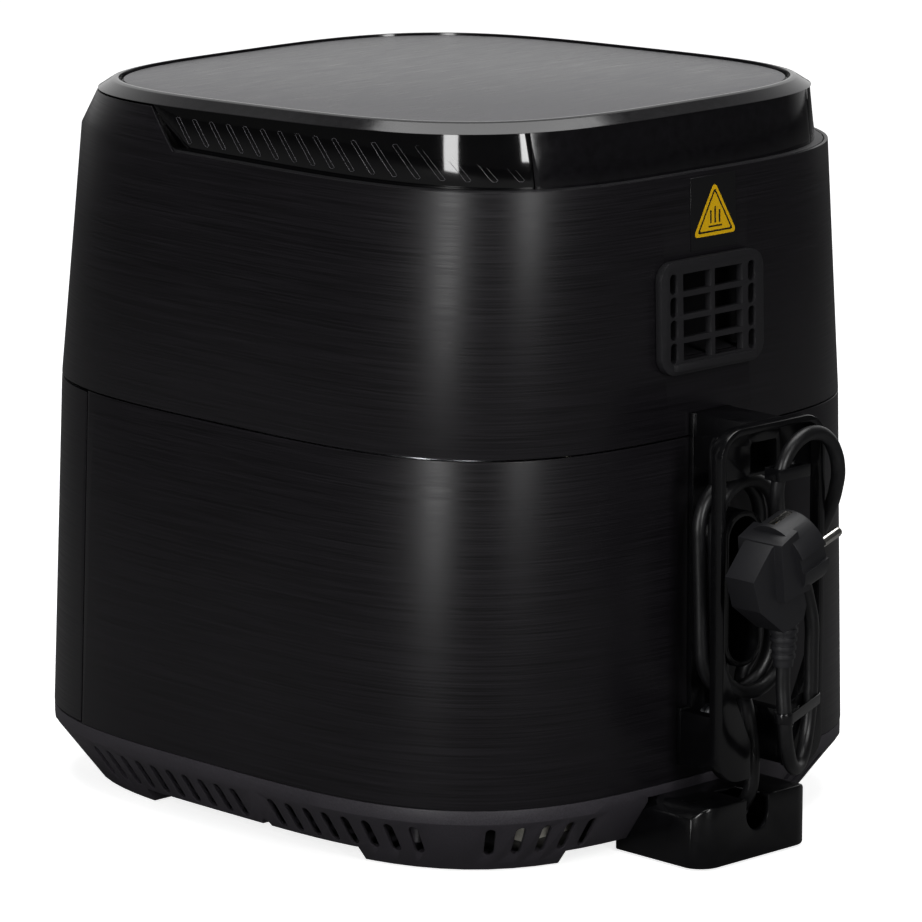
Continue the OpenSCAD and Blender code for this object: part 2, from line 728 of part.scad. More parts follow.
module handle_bar() {
    y0 = -base_d / 2 - handle_reach;
    color("#131316") difference() {
        union() {
            translate([-handle_w / 2, y0 + handle_t / 2, handle_z]) rotate([90, 0, 90])
                linear_extrude(handle_w) rounded_plate(handle_t, handle_h, 5);
            at_posts() translate([0, 0, -post_y])
                cylinder(r = post_r, h = post_y - y0 - handle_t / 2, $fn = 48);
        }
        box([-handle_w / 2 + 9, y0 - 1, handle_z - 4], [handle_w / 2 - 9, y0 + 1.5, handle_z + 4]);
        at_posts() translate([0, 0, -post_y - 1]) cylinder(r = 2 + touch, h = 22, $fn = 24);
    }
}
module handle_trim() {
    y0 = -base_d / 2 - handle_reach;
    color("#b9bbbf") box([-handle_w / 2 + 9 + touch, y0, handle_z - 4 + touch],
        [handle_w / 2 - 9 - touch, y0 + 1.5, handle_z + 4 - touch]);
}
module handle_screws() {
    color("#8c8c90") at_posts() translate([0, 0, -post_y + 18]) mirror([0, 0, 1])
        screw(2, 18, post_head_r, 1.6);
}
module pan() {
    color("#2a2a2d") translate([0, pan_y, pan_z0]) difference() {
        union() {
            linear_extrude(pan_h) rounded_plate(pan_w, pan_d, pan_r);
            translate([0, 0, pan_h - pan_t])
                linear_extrude(pan_t)
                    rounded_plate(pan_w + 2 * rim_flange, pan_d + rim_flange, pan_r + rim_flange);
        }
        translate([0, 0, pan_t]) linear_extrude(pan_h)
            rounded_plate(pan_w - 2 * pan_t, pan_d - 2 * pan_t, pan_r - pan_t);
        translate([0, -pan_y, -pan_z0]) pan_screw_holes(inner_y, 10);
    }
}
module pan_bracket() {
    color("#9a9ca0") difference() {
        box([-bracket_plate_w / 2, inner_y, pan_screw_z[0] - 14],
            [bracket_plate_w / 2, pan_y - pan_d / 2, pan_screw_z[1] + 14]);
        pan_screw_holes(inner_y - 1, 10);
    }
}
module pan_screws() {
    y = pan_y - pan_d / 2 + pan_t;
    color("#b4b6ba") for (x = pan_screw_x, z = pan_screw_z)
        translate([x, inner_y - inner_t - 2, z]) rotate([-90, 0, 0])
            screw(pan_screw_r, y - inner_y + inner_t + 2, 4.2, 1.6);
}
module crisper_plate() {
    n = floor(crisper_w / crisper_pitch / 2);
    m = floor(crisper_d / crisper_pitch / 2);
    color("#303034") {
        translate([0, pan_y, crisper_z]) linear_extrude(crisper_t) difference() {
            rounded_plate(crisper_w, crisper_d, crisper_r);
            for (i = [-n:n], j = [-m:m])
                if (abs(i) + abs(j) < n + m - 2 && (abs(i) < n || abs(j) < m - 1))
                    translate([i, j] * crisper_pitch) circle(crisper_hole / 2, $fn = 16);
        }
        translate([0, pan_y, crisper_z - 13.7]) at_corners(crisper_pitch * 3.5, crisper_pitch * 3.5)
            cylinder(r = 4, h = 13.8, $fn = 32);
    }
}
module crisper_bumpers() {
    color("#3c3c40") for (side = [-1, 1]) {
        translate([side * (crisper_w / 2 + bumper_mid), pan_y, crisper_z - 2])
            cube([bumper_t, 22, 6], center = true);
        translate([0, pan_y + side * (crisper_d / 2 + bumper_mid), crisper_z - 2])
            cube([22, bumper_t, 6], center = true);
    }
}

// ---- rear fittings ----
grille_t = 4;
grille_bar = 2.6;
duct_t = 1.5;
duct_w = grille_w - 2 * grille_frame + 2 * duct_t;
duct_z0 = reflector_top + fit;
duct_z1 = grille_z + grille_h / 2 - grille_frame + duct_t;
duct_y0 = motor_r + 8;
grille_tilt = atan((rear_y(grille_z - 20) - rear_y(grille_z + 20)) / 40);
grille_rows = 4;
col_w = 19;
row_h = 8.4;
side_slot_w = 5;

module grille_slots() {
    for (x = [-1, 1], k = [0:grille_rows - 1]) {
        z = (k - (grille_rows - 1) / 2) * (row_h + grille_bar);
        translate([x * (col_w + grille_bar) / 2, z]) square([col_w, row_h], center = true);
        translate([x * (col_w + grille_bar * 2 + side_slot_w / 2), z]) {
            square([side_slot_w, row_h - side_slot_w + 1.6], center = true);
            for (e = [-1, 1]) translate([0, e * (row_h - side_slot_w + 1.6) / 2])
                circle(side_slot_w / 2 - touch, $fn = 24);
        }
    }
}
module exhaust_grille() {
    color("#0f0f11") translate([0, rear_y(grille_z), grille_z]) rotate([grille_tilt, 0, 0]) {
        difference() {
            upright(fit, grille_t) rounded_plate(grille_w, grille_h, 9);
            upright(-1, 20) grille_slots();
        }
        translate([0, 0, -grille_h / 2 + 3.5]) upright(grille_t, 3) square([grille_w - 16, 3], center = true);
    }
}
module exhaust_duct() {
    y1 = rear_y(duct_z1) - wrap_t - fit;
    color("#27272a") difference() {
        box([-duct_w / 2, duct_y0, duct_z0], [duct_w / 2, y1, duct_z1]);
        box([-duct_w / 2 + duct_t, duct_y0 - 1, duct_z0 + duct_t],
            [duct_w / 2 - duct_t, y1 + 1, duct_z1 - duct_t]);
    }
}
module heat_label() {
    z0 = label_z - label_h / 2;
    z1 = label_z + label_h / 2;
    grow = [label_t, label_t, 0, 0, 0];
    color("#e8c018") intersection() {
        hoop([skin(z0) + grow, skin(z1) + grow], label_t - touch);
        box([label_x - label_w / 2, 0, z0], [label_x + label_w / 2, base_d, z1]);
    }
}

stile_w = 3.6;
rim_t = 7;
bracket_y1 = base_d / 2 + bracket_reach;
bracket_y0 = base_d / 2 + 0.3;
bracket_mid = (bracket_z0 + bracket_z1) / 2;
bracket_h = bracket_z1 - bracket_z0;
bracket_r = 14;
leg_gap = 14;
leg_top = 102;
web_t = 2.5;
core_r = 13;
hank_z = 131;
hank_straight = 29;

module bracket_outline(inset) {
    translate([0, bracket_mid]) rounded_plate(bracket_w - 2 * inset, bracket_h - 2 * inset, bracket_r - inset);
}
module obround(r, half) {
    for (s = [-1, 1]) translate([0, s * half]) circle(r, $fn = 64);
    square([2 * r, 2 * half], center = true);
}
web_w = bracket_w - 2;
web_z = bracket_z1 - 15;
web_h = 22;
web_y = bracket_y1 - rim_t - 14;
foot_plate_h = 28;
neck_w = 24;
neck_z0 = 188.8;
leg_t = 6;
core_l = 24;

// rim frame, open between the two legs
module bracket_rim() {
    x0 = bracket_w / 2 - stile_w;
    color("#0a0a0c") upright(bracket_y1 - rim_t, rim_t) difference() {
        bracket_outline(0);
        translate([0, (bracket_z1 - stile_w + leg_top) / 2])
            rounded_plate(2 * x0, bracket_z1 - stile_w - leg_top, bracket_r - stile_w);
        polygon([[x0, leg_top + 20], [x0, leg_top], [leg_gap, bracket_z0 + 18], [leg_gap, bracket_z0 - 9],
            [-leg_gap, bracket_z0 - 9], [-leg_gap, bracket_z0 + 18], [-x0, leg_top], [-x0, leg_top + 20]]);
    }
}
// neck round the window, web behind the rim and the two feet of the legs
module bracket_cheeks() {
    y0 = bracket_y0 + web_t;
    y1 = bracket_y1 - rim_t;
    color("#0a0a0c") {
        upright(y0, y1 - y0) difference() {
            translate([-neck_w / 2, neck_z0]) square([neck_w, bracket_z1 - neck_z0]);
            bracket_window();
        }
        upright(y1 - web_t, web_t) intersection() {
            bracket_outline(touch);
            difference() {
                translate([0, web_z]) square([web_w, web_h], center = true);
                bracket_window();
            }
        }
        for (s = [-1, 1]) upright(y0, y1 - y0)
            translate([s * (leg_gap + leg_t / 2), bracket_z0 + foot_plate_h / 2])
                square([leg_t, foot_plate_h - 2], center = true);
    }
}
module bracket_window() {
    translate([0, web_z - 2]) rounded_plate(18, 14, 1.5);
}
// back plates, strip and winding core against the shell
module cord_bracket() {
    foot_w = 2 * (leg_gap + leg_t);
    color("#0a0a0c") difference() {
        union() {
            upright(bracket_y0, web_t) {
                translate([-foot_w / 2, bracket_z0]) square([foot_w, foot_plate_h]);
                translate([-neck_w / 2, neck_z0]) square([neck_w, bracket_z1 - neck_z0]);
                translate([-core_r, bracket_z0]) square([2 * core_r, bracket_h]);
            }
            upright(bracket_y0, core_l) translate([0, hank_z]) obround(core_r, hank_straight - 4);
        }
        upright(bracket_y0 + web_t, 40) translate([0, hank_z]) obround(core_r - web_t, hank_straight - 4);
        for (z = bracket_screw_z) translate([0, base_d / 2, z])
            rotate([90, 0, 0]) cylinder(r = bracket_screw_r + touch, h = 30, center = true, $fn = 24);
    }
}
module bracket_screws() {
    color("#3a3a3d") for (z = bracket_screw_z) translate([0, base_d / 2 - 8, z]) rotate([-90, 0, 0])
        screw(bracket_screw_r, 8.3 + web_t, 3.8, 2);
}
slot_z = 22.5;
block_z0 = 1;
block_t = 2.6;
block_r = 12;
module cord_outlet_block() {
    color("#121214") difference() {
        intersection() {
            upright(block_y0, block_y1 - block_y0) {
                translate([-block_w / 2, block_z0]) square([block_w, block_h - 9 - block_z0]);
                translate([-block_w / 2 + 9, block_z0]) square([block_w - 18, block_h - block_z0]);
                for (side = [-1, 1]) translate([side * (block_w / 2 - 9), block_h - 9]) circle(9, $fn = 48);
            }
            linear_extrude(block_h + 5) {
                translate([-block_w / 2, block_y0]) square([block_w, block_y1 - block_r - block_y0]);
                translate([-block_w / 2 + block_r, block_y0])
                    square([block_w - 2 * block_r, block_y1 - block_y0]);
                for (side = [-1, 1]) translate([side * (block_w / 2 - block_r), block_y1 - block_r])
                    circle(block_r, $fn = 48);
            }
        }
        box([-block_w / 2 + block_r, block_y0 + block_t, block_z0 + block_t],
            [block_w / 2 - block_r, block_y1 - block_t, block_h - block_t]);
        upright(block_y1 - 22, 40) {
            translate([0, slot_z]) circle(slot_w / 2, $fn = 48);
            translate([-slot_w / 2, slot_z]) square([slot_w, 30]);
        }
    }
}
gland_l = 18;
gland_y = 190;
gland_z = 11;
module cord_gland() {
    color("#0d0d0e") translate([0, gland_y, gland_z]) rotate([-45, 0, 0]) {
        cylinder(r1 = cord_d / 2 + 2.4, r2 = cord_d / 2 + 0.9, h = gland_l, $fn = 48);
        translate([0, 0, -3]) cylinder(r = cord_d / 2 + 3, h = 3.01, $fn = 48);
    }
    color("#0d0d0e") box([-6, gland_y - 9, block_z0 + block_t + touch], [6, gland_y - 1, gland_z - 1]);
}
module terminal_block() {
    color("#dcdcd4") box([46, 128, floor_z + touch], [86, 142, floor_z + 15.5]);
}

// ---- wiring and mains cord ----
loom_x = 74;
loom_y = 157;
loom_path = [[70, 138, 27], [70, 139, 31], [71, 146, 36], [73, 154, 44], [74, 157, 60], [74, 157, 100],
    [74, 157, 150], [74, 157, 205], [74, 156, 240], [76, 150, 270], [80, 136, 288], [86, 116, 299],
    [92, 96, 305], [97, 78, 310], [98, 66.5, 311]];
// from the gland up to the winding, in round millimetres
outlet_path = [[0, 203, 24], [0, 206, 28], [0, 209, 34], [0, 210, 42], [0, 210, 51], [-2, 207, 60],
    [-6, 201, 69], [-9, 196, 75]];
// from the winding up the right side, over the loop, down behind the plug and up into it
plug_path = [[-30, 206, 120], [-32, 208, 128], [-36, 210, 138], [-39, 212, 148], [-41, 216, 158],
    [-41, 221, 168], [-39, 226, 178], [-37, 229, 188], [-34, 229, 198], [-28, 229, 205], [-20, 229, 208],
    [-11, 229, 207], [-3, 229, 202], [2, 229, 195], [4, 228, 186], [3, 227, 176], [0, 226, 167],
    [-5, 226, 158], [-11, 226, 148], [-16, 226, 138], [-20, 226, 127], [-22, 227, 115], [-22, 227, 100],
    [-22, 227, 85], [-21, 227, 71], [-18, 228, 60], [-12, 231, 52], [-4, 235, 49], [4, 239, 52],
    [10, 242, 60], [13, 243, 70], [14, 243, 81], [14, 242, 92], [14, 242, 103]];
hank_shift = -3;
hank_in = 16.5;
hank_out = 28.6;
hank_y0 = 185;
hank_y1 = 206;

function unit(v) = v / norm(v);
// tube swept along points: each ring stands square to the line between its neighbours
module swept_tube(path, r, sides) {
    n = len(path);
    dirs = [for (i = [0:n - 1]) unit(path[min(i + 1, n - 1)] - path[max(i - 1, 0)])];
    side_ref = [0.31, 0.83, 0.47];
    pts = [for (i = [0:n - 1])
        let (u = unit(cross(dirs[i], side_ref)), v = cross(dirs[i], u))
        for (k = [0:sides - 1]) let (a = 360 * k / sides) path[i] + r * (cos(a) * u + sin(a) * v)];
    walls = [for (i = [0:n - 2], k = [0:sides - 1]) let (j = (k + 1) % sides)
        [i * sides + k, (i + 1) * sides + k, (i + 1) * sides + j, i * sides + j]];
    polyhedron(pts, concat([[for (k = [0:sides - 1]) k]], walls,
        [[for (k = [sides - 1:-1:0]) (n - 1) * sides + k]]), convexity = 8);
}
module wiring_loom() {
    color("#b8b8b0") swept_tube(loom_path, loom_r, 8);
}
module cord_outlet_run() {
    color("#141416") swept_tube(outlet_path, cord_d / 2, 10);
}
module cord_hank() {
    color("#141416") upright(hank_y0, hank_y1 - hank_y0) translate([hank_shift, hank_z]) difference() {
        obround(hank_out, hank_straight);
        obround(hank_in, hank_straight);
    }
}
module cord_plug_run() {
    color("#141416") swept_tube(plug_path, cord_d / 2, 10);
}

// ---- plug ----
plug_face = [4.5, 242.5, 160];
plug_tilt = 18;
plug_r = 18.5;
plug_depth = 17;
pin_r = 2.4;
pin_l = 19;
pin_span = 19;
relief_l = 26;
// places a child at the plug's face, with +Z along the pins and -X towards the cord
module at_plug() {
    translate(plug_face) rotate([0, plug_tilt - 90, 0]) children();
}
module mains_plug() {
    color("#1c1c1f") difference() {
        union() {
            at_plug() {
                translate([0, 0, -plug_depth]) cylinder(r = plug_r, h = plug_depth, $fn = 96);
                rotate([90, 0, 0]) {
                    linear_extrude(28, center = true) polygon([[-15, -12], [16, -12], [14, -24], [-13, -30]]);
                    linear_extrude(18, center = true)
                        polygon([[-24, -12], [15, -12], [13, -26], [3, -42], [-13, -42], [-30, -30],
                            [-30, -16]]);
                }
            }
            // ribbed strain relief, straight down
            translate(plug_path[len(plug_path) - 1]) {
                cylinder(r1 = cord_d / 2 + 1.2, r2 = cord_d / 2 + 3.4, h = relief_l, $fn = 48);
                for (k = [0:4]) translate([0, 0, 4 + k * 4.2])
                    cylinder(r = cord_d / 2 + 2.2 + k * 0.4, h = 2, $fn = 48);
            }
        }
        for (s = [-1, 1]) at_plug() translate([0, s * pin_span / 2, -12])
            cylinder(r = pin_r + touch, h = 20, $fn = 32);
        for (s = [-1, 1]) at_plug() translate([0, s * (plug_r + 1), -plug_depth / 2 + 3])
            cube([7, 6, plug_depth + 7], center = true);
    }
}
module plug_pins() {
    color("#cfd1d4") for (s = [-1, 1]) at_plug() translate([0, s * pin_span / 2, -12 + touch]) {
        cylinder(r = pin_r, h = 12 + pin_l - pin_r, $fn = 32);
        translate([0, 0, 12 + pin_l - pin_r]) sphere(r = pin_r, $fn = 32);
    }
}
tie_r = cord_d / 2 + 0.1;
tie_wall = 0.9;
low_tie = [-4, 235, 78];
low_tie_turn = 24;
low_tie_half = 19.7;
top_tie = [-2, 228.6, 192];
module tie_ring(half, height) {
    rotate(90) linear_extrude(height, center = true) difference() {
        obround(tie_r + tie_wall, half);
        obround(tie_r, half);
    }
}
module cord_ties() {
    color("#0a0a0b") {
        translate(low_tie) rotate(low_tie_turn) tie_ring(low_tie_half, 5);
        translate(top_tie) difference() {
            cube([21, 10.2, 6], center = true);
            cube([19, 8.4, 8], center = true);
        }
    }
}

base_tray();
foot_pads();
lower_shell();
upper_shell();
middle_frame();
roof_tray();
top_rim();
top_panel();
belt_insert_left();
belt_insert_right();
control_panel();
control_board();
power_board();
exhaust_grille();
exhaust_duct();
heat_label();
cord_bracket();
bracket_rim();
bracket_cheeks();
bracket_screws();
cord_outlet_block();
cord_gland();
terminal_block();
wiring_loom();
chamber_liner();
heat_shield();
drawer_runners();
drawer_switch();
reflector();
heating_element();
element_clips();
heater_guard();
thermal_fuse();
temperature_probe();
motor_bracket();
motor_can();
motor_stator();
shaft_bearings();
motor_screws();
motor_shaft();
motor_rotor();
hot_air_fan();
cooling_fan();
drawer_front();
drawer_inner();
handle_bar();
handle_trim();
handle_screws();
pan();
pan_bracket();
pan_screws();
crisper_plate();
crisper_bumpers();
base_screws();
cord_outlet_run();
cord_hank();
cord_plug_run();
mains_plug();
plug_pins();
cord_ties();
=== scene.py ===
"""A basket air fryer seen from behind, with its shells, grille, cord bracket and wound mains cord."""
import json
import logging
import math
from collections.abc import Callable, Iterator, Sequence
from contextlib import contextmanager
from dataclasses import dataclass, field
from enum import Enum

import bmesh
import bpy
from mathutils import Matrix, Vector


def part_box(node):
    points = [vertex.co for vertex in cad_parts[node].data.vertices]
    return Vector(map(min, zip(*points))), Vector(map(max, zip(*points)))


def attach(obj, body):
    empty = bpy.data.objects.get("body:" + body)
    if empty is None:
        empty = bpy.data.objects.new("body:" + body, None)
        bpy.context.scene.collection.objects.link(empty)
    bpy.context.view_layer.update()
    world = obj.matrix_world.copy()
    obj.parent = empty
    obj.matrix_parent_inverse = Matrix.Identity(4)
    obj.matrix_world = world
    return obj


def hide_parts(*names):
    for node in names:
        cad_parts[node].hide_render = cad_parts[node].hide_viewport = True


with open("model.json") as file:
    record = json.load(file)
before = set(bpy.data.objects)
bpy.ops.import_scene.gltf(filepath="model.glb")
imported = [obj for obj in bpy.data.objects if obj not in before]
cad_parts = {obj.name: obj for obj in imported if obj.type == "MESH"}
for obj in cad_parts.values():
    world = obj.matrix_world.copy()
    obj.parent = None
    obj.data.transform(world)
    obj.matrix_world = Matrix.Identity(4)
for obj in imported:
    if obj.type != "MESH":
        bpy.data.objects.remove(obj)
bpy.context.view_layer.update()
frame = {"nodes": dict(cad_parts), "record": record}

MM = 0.001
LOG = logging.getLogger("air_fryer")


# ---- finishes ----
def linear(code: str) -> tuple[float, float, float, float]:
    """Turns an sRGB hex colour into a linear one.

    Args:
        code: The colour as "#rrggbb".

    Returns:
        Red, green, blue and alpha, from 0 to 1.
    """
    parts = [int(code[i:i + 2], 16) / 255 for i in (1, 3, 5)]
    return (*[p / 12.92 if p <= 0.04045 else ((p + 0.055) / 1.055) ** 2.4 for p in parts], 1.0)


def add_node(tree: bpy.types.NodeTree, kind: str, settings: dict | None = None,
             links: dict | None = None) -> bpy.types.Node:
    """Adds one node with its settings and the sockets that feed it.

    Args:
        tree: The node tree.
        kind: The node's type name.
        settings: Values by input name or number, or by property name.
        links: Source sockets by input name or number.

    Returns:
        The new node.
    """
    node = tree.nodes.new(kind)
    for key, value in (settings or {}).items():
        if isinstance(key, int) or key in node.inputs:
            node.inputs[key].default_value = value
        else:
            setattr(node, key, value)
    for key, socket in (links or {}).items():
        tree.links.new(socket, node.inputs[key])
    return node


class Grain(Enum):
    """How a surface was worked, as the share of the pattern's pitch along X, Y and Z."""

    ROUND = (0.012, 0.012, 1.0)
    CROSS = (0.045, 1.0, 1.0)
    MOULDED = (1.0, 1.0, 1.0)
    POLISHED = (0.3, 0.3, 0.3)
    TURNED = (0.2, 0.2, 1.0)


@dataclass(frozen=True)
class Finish:
    """A material made of noise at real sizes: colour, roughness and relief all follow it.

    The pitch and depth are in millimetres. The tone is the second colour, reached at the
    peaks of the pattern, and cloud is how much of a broad, 90 mm variation is mixed in.
    """

    name: str
    base: str
    tone: str
    rough: tuple[float, float]
    grain: Grain = Grain.MOULDED
    pitch: float = 0.8
    depth: float = 0.02
    metallic: float = 0.0
    specular: float = 0.5
    coat: float = 0.0
    cloud: float = 0.25
    glow: float = 0.0

    def material(self) -> bpy.types.Material:
        """Returns the material, made on first use."""
        found = bpy.data.materials.get(self.name)
        if found:
            return found
        material = bpy.data.materials.new(self.name)
        material.use_nodes = True
        tree = material.node_tree
        shader = tree.nodes["Principled BSDF"]
        shader.inputs["Metallic"].default_value = self.metallic
        shader.inputs["Coat Weight"].default_value = self.coat
        shader.inputs["Coat Roughness"].default_value = 0.08
        shader.inputs["Specular IOR Level"].default_value = self.specular
        at = add_node(tree, "ShaderNodeTexCoord").outputs["Object"]
        scale = [share / (self.pitch * MM) for share in self.grain.value]
        fine_map = add_node(tree, "ShaderNodeMapping", {"Scale": scale}, {"Vector": at})
        fine = add_node(tree, "ShaderNodeTexNoise", {"Scale": 1.0, "Detail": 3.0, "Roughness": 0.6},
                        {"Vector": fine_map.outputs[0]})
        broad = add_node(tree, "ShaderNodeTexNoise", {"Scale": 11.0, "Detail": 2.0}, {"Vector": at})
        mixed = add_node(tree, "ShaderNodeMix", {"Factor": self.cloud},
                         {"A": fine.outputs[0], "B": broad.outputs[0]})
        spread = add_node(tree, "ShaderNodeMapRange", {"From Min": 0.3, "From Max": 0.7},
                          {"Value": mixed.outputs[0]})
        ramp = add_node(tree, "ShaderNodeValToRGB", links={"Fac": spread.outputs[0]})
        ramp.color_ramp.elements[0].color = linear(self.base)
        ramp.color_ramp.elements[1].color = linear(self.tone)
        rough = add_node(tree, "ShaderNodeMapRange", {"To Min": self.rough[0], "To Max": self.rough[1]},
                         {"Value": spread.outputs[0]})
        relief = add_node(tree, "ShaderNodeBump", {"Strength": 0.6, "Distance": self.depth * MM},
                          {"Height": fine.outputs[0]})
        tree.links.new(ramp.outputs[0], shader.inputs["Base Color"])
        tree.links.new(rough.outputs[0], shader.inputs["Roughness"])
        tree.links.new(relief.outputs[0], shader.inputs["Normal"])
        if self.glow:
            shader.inputs["Emission Color"].default_value = linear(self.tone)
            shader.inputs["Emission Strength"].default_value = self.glow
        return material


# Brushed film laminated on painted sheet steel: near black, with level hairlines that only
# show inside the highlights. The real lines are 0.2 mm apart, drawn at 0.7 mm so that they show.
WRAP = Finish("brushed_black_film_on_steel", "#0c0b0d", "#1b191d", (0.3, 0.42), Grain.ROUND,
              pitch=0.7, depth=0.03, specular=0.34, cloud=0.12)
# Dark anodised aluminium brushed across the lid: short grey streaks, drawn coarser than the real
# ones so that they show. The film over the metal takes most of its mirror away.
TOP = Finish("dark_anodised_brushed_aluminium", "#1c1b1e", "#69686c", (0.24, 0.5), Grain.CROSS,
             pitch=1.1, depth=0.06, metallic=0.35, specular=0.35, cloud=0.1)
# Smooth ABS moulding of the rim and belt: black, with a clear sheen on its chamfer.
RIM = Finish("satin_black_abs", "#0b0a0c", "#131215", (0.1, 0.17), Grain.POLISHED, pitch=1.4,
             depth=0.002)
# Piano-black polished ABS: mirror reflections, hardly any grain.
GLOSS = Finish("piano_black_abs", "#040405", "#070708", (0.04, 0.08), Grain.POLISHED, pitch=3.0,
               depth=0.0015, coat=0.4)
# Smooth injection-moulded ABS of the cord bracket: black, semi-gloss, with a slight orange peel.
BRACKET = Finish("semi_gloss_black_abs", "#060607", "#0b0b0d", (0.16, 0.26), Grain.POLISHED,
                 pitch=2.2, depth=0.01)
# Spark-eroded polypropylene: matte with a 0.8 mm texture. Its black is drawn as a lifted dark grey, partly
# painted bounce light standing for the light that a pale floor throws up under the base.
BASE = Finish("textured_polypropylene_with_painted_bounce", "#29272b", "#403d43", (0.42, 0.56), pitch=0.8,
              depth=0.025, specular=0.4)
# Spark-eroded ABS of the grille and handle: dark grey-black, dull, with a fine texture.
DARK = Finish("textured_dark_abs", "#141416", "#232225", (0.4, 0.55), pitch=0.7, depth=0.02,
              specular=0.4)
# Soft PVC sheath of the mains cord: a dull sheen with faint mould lines.
SHEATH = Finish("black_pvc_sheath", "#0a0a0b", "#151517", (0.32, 0.44), pitch=1.6, depth=0.015)
# Moulded PVC plug: dark grey, fine stipple that catches the light.
PLUG = Finish("stippled_pvc_plug", "#0d0d0f", "#202024", (0.4, 0.54), pitch=0.5, depth=0.04)
# Nickel-plated brass: bright and slightly drawn along the pins.
NICKEL = Finish("nickel_plated_brass", "#c9c7c2", "#e6e4df", (0.14, 0.24), Grain.TURNED, pitch=0.4,
                depth=0.004, metallic=1.0)
# Nylon cable tie: glossy and black.
TIE = Finish("black_nylon_tie", "#070708", "#111113", (0.16, 0.26), pitch=0.6, depth=0.006)
# Matte polyester film of the sticker, with a fine tooth.
FILM = Finish("black_polyester_film", "#0b0b0c", "#111113", (0.3, 0.38), pitch=0.5, depth=0.003)
# Printed ink on the film: saturated yellow, thin and even.
YELLOW = Finish("yellow_printing_ink", "#e2ad00", "#f4c60a", (0.34, 0.42), pitch=0.4, depth=0.002)
# Printed ink of the symbol: flat black on the yellow.
INK = Finish("black_printing_ink", "#0a0a0a", "#141414", (0.34, 0.42), pitch=0.4, depth=0.002)
# Thin grey outlines of the slots pressed into the gloss inserts: their pale grey is a painted highlight,
# standing for the light that the slots' edges catch.
SLOT_EDGE_GLINT = Finish("painted_highlight_on_slot_edges", "#3a393c", "#6a696d", (0.2, 0.34), pitch=0.6,
                  depth=0.004)
# Tempered glass printed black from behind: a mirror over a deep black.
GLASS = Finish("back_printed_tempered_glass", "#030304", "#060607", (0.02, 0.05), Grain.POLISHED,
               pitch=4.0, depth=0.0008, coat=0.3)
# Diffused light of the display's segments: an even, cool white.
LIT = Finish("lit_display_segment", "#cfe9ff", "#e8f6ff", (0.3, 0.4), pitch=0.5, depth=0.001,
             glow=1.6)
# Zinc-plated sheet and screws: pale metal with a faint, uneven spangle.
ZINC = Finish("zinc_plated_steel", "#9fa1a6", "#c3c5ca", (0.26, 0.42), Grain.MOULDED, pitch=2.5,
              depth=0.006, metallic=1.0)
# Rolled aluminium sheet and castings: soft grey metal with rolling lines.
ALUMINIUM = Finish("mill_finish_aluminium", "#a9abae", "#cfd1d4", (0.28, 0.42), Grain.CROSS,
                   pitch=0.8, depth=0.008, metallic=1.0)
# Heater tube after use: brown-grey metal, dulled by heat.
HEATER = Finish("oxidised_incoloy_sheath", "#3b3733", "#5d564f", (0.42, 0.6), pitch=1.5, depth=0.02,
                metallic=1.0)
# Sprayed non-stick coating: charcoal with a fine pebbled sheen.
COATING = Finish("non_stick_ptfe_coating", "#141416", "#26262a", (0.34, 0.5), pitch=0.6, depth=0.03,
                 specular=0.45)
# Moulded nitrile rubber: black and matte, with no clear reflections.
RUBBER = Finish("black_nitrile_rubber", "#0b0b0c", "#161618", (0.5, 0.66), pitch=0.6, depth=0.02)
# Moulded silicone: mid grey and soft to the eye.
SILICONE = Finish("grey_silicone", "#37373a", "#4b4b4f", (0.4, 0.55), pitch=0.7, depth=0.012)
# Wound enamelled copper wire: red-brown, with a line for each turn.
COPPER = Finish("enamelled_copper_wire", "#7a3a17", "#c06a33", (0.22, 0.36), Grain.TURNED,
                pitch=0.9, depth=0.06, metallic=1.0)
# Sintered bronze bushes: dull gold with fine pores.
BRONZE = Finish("sintered_bronze", "#7d5a26", "#b0863f", (0.35, 0.5), pitch=0.4, depth=0.02,
                metallic=1.0)
# Solder resist on a circuit board: glossy green, darker and lighter over its tracks.
BOARD = Finish("green_solder_resist", "#0e3a22", "#1d6038", (0.25, 0.38), pitch=1.8, depth=0.02)
# Glazed steatite: cream, with a soft shine.
CERAMIC = Finish("glazed_steatite", "#c9c6bb", "#e4e1d6", (0.16, 0.26), pitch=1.6, depth=0.01)
# Braided glass-fibre sleeve: off-white, rough, with a coarse braid.
SLEEVE = Finish("glass_fibre_sleeve", "#a8a498", "#cfcbbd", (0.6, 0.75), pitch=0.7, depth=0.08)
# Satin anodised aluminium of the handle's trim: pale, finely brushed.
SATIN = Finish("satin_anodised_aluminium", "#a5a7ab", "#c2c4c8", (0.24, 0.36), Grain.CROSS,
               pitch=0.6, depth=0.006, metallic=1.0)
BY_SLOT = {
    "wrap_black": WRAP, "base_black": BASE, "dark_plastic": DARK, "top_metal": TOP,
    "gloss_black": BRACKET, "touch_glass": GLASS, "board_green": BOARD, "zinc_steel": ZINC,
    "bare_aluminium": ALUMINIUM, "heater_metal": HEATER, "pan_coat": COATING,
    "rubber_black": RUBBER, "silicone_grey": SILICONE, "copper_wire": COPPER,
    "bearing_bronze": BRONZE, "label_yellow": FILM, "ceramic_white": CERAMIC,
    "wire_sleeve": SLEEVE, "cord_black": SHEATH, "plug_black": PLUG, "plug_pin_metal": NICKEL,
    "trim_silver": SATIN}


# ---- modelling ----
def deselect() -> None:
    """Leaves nothing selected, in object mode."""
    if bpy.context.object and bpy.context.object.mode != "OBJECT":
        bpy.ops.object.mode_set(mode="OBJECT")
    bpy.ops.object.select_all(action="DESELECT")


def choose(piece: bpy.types.Object) -> None:
    """Makes one piece the only selected and the active one."""
    deselect()
    piece.select_set(True)
    bpy.context.view_layer.objects.active = piece


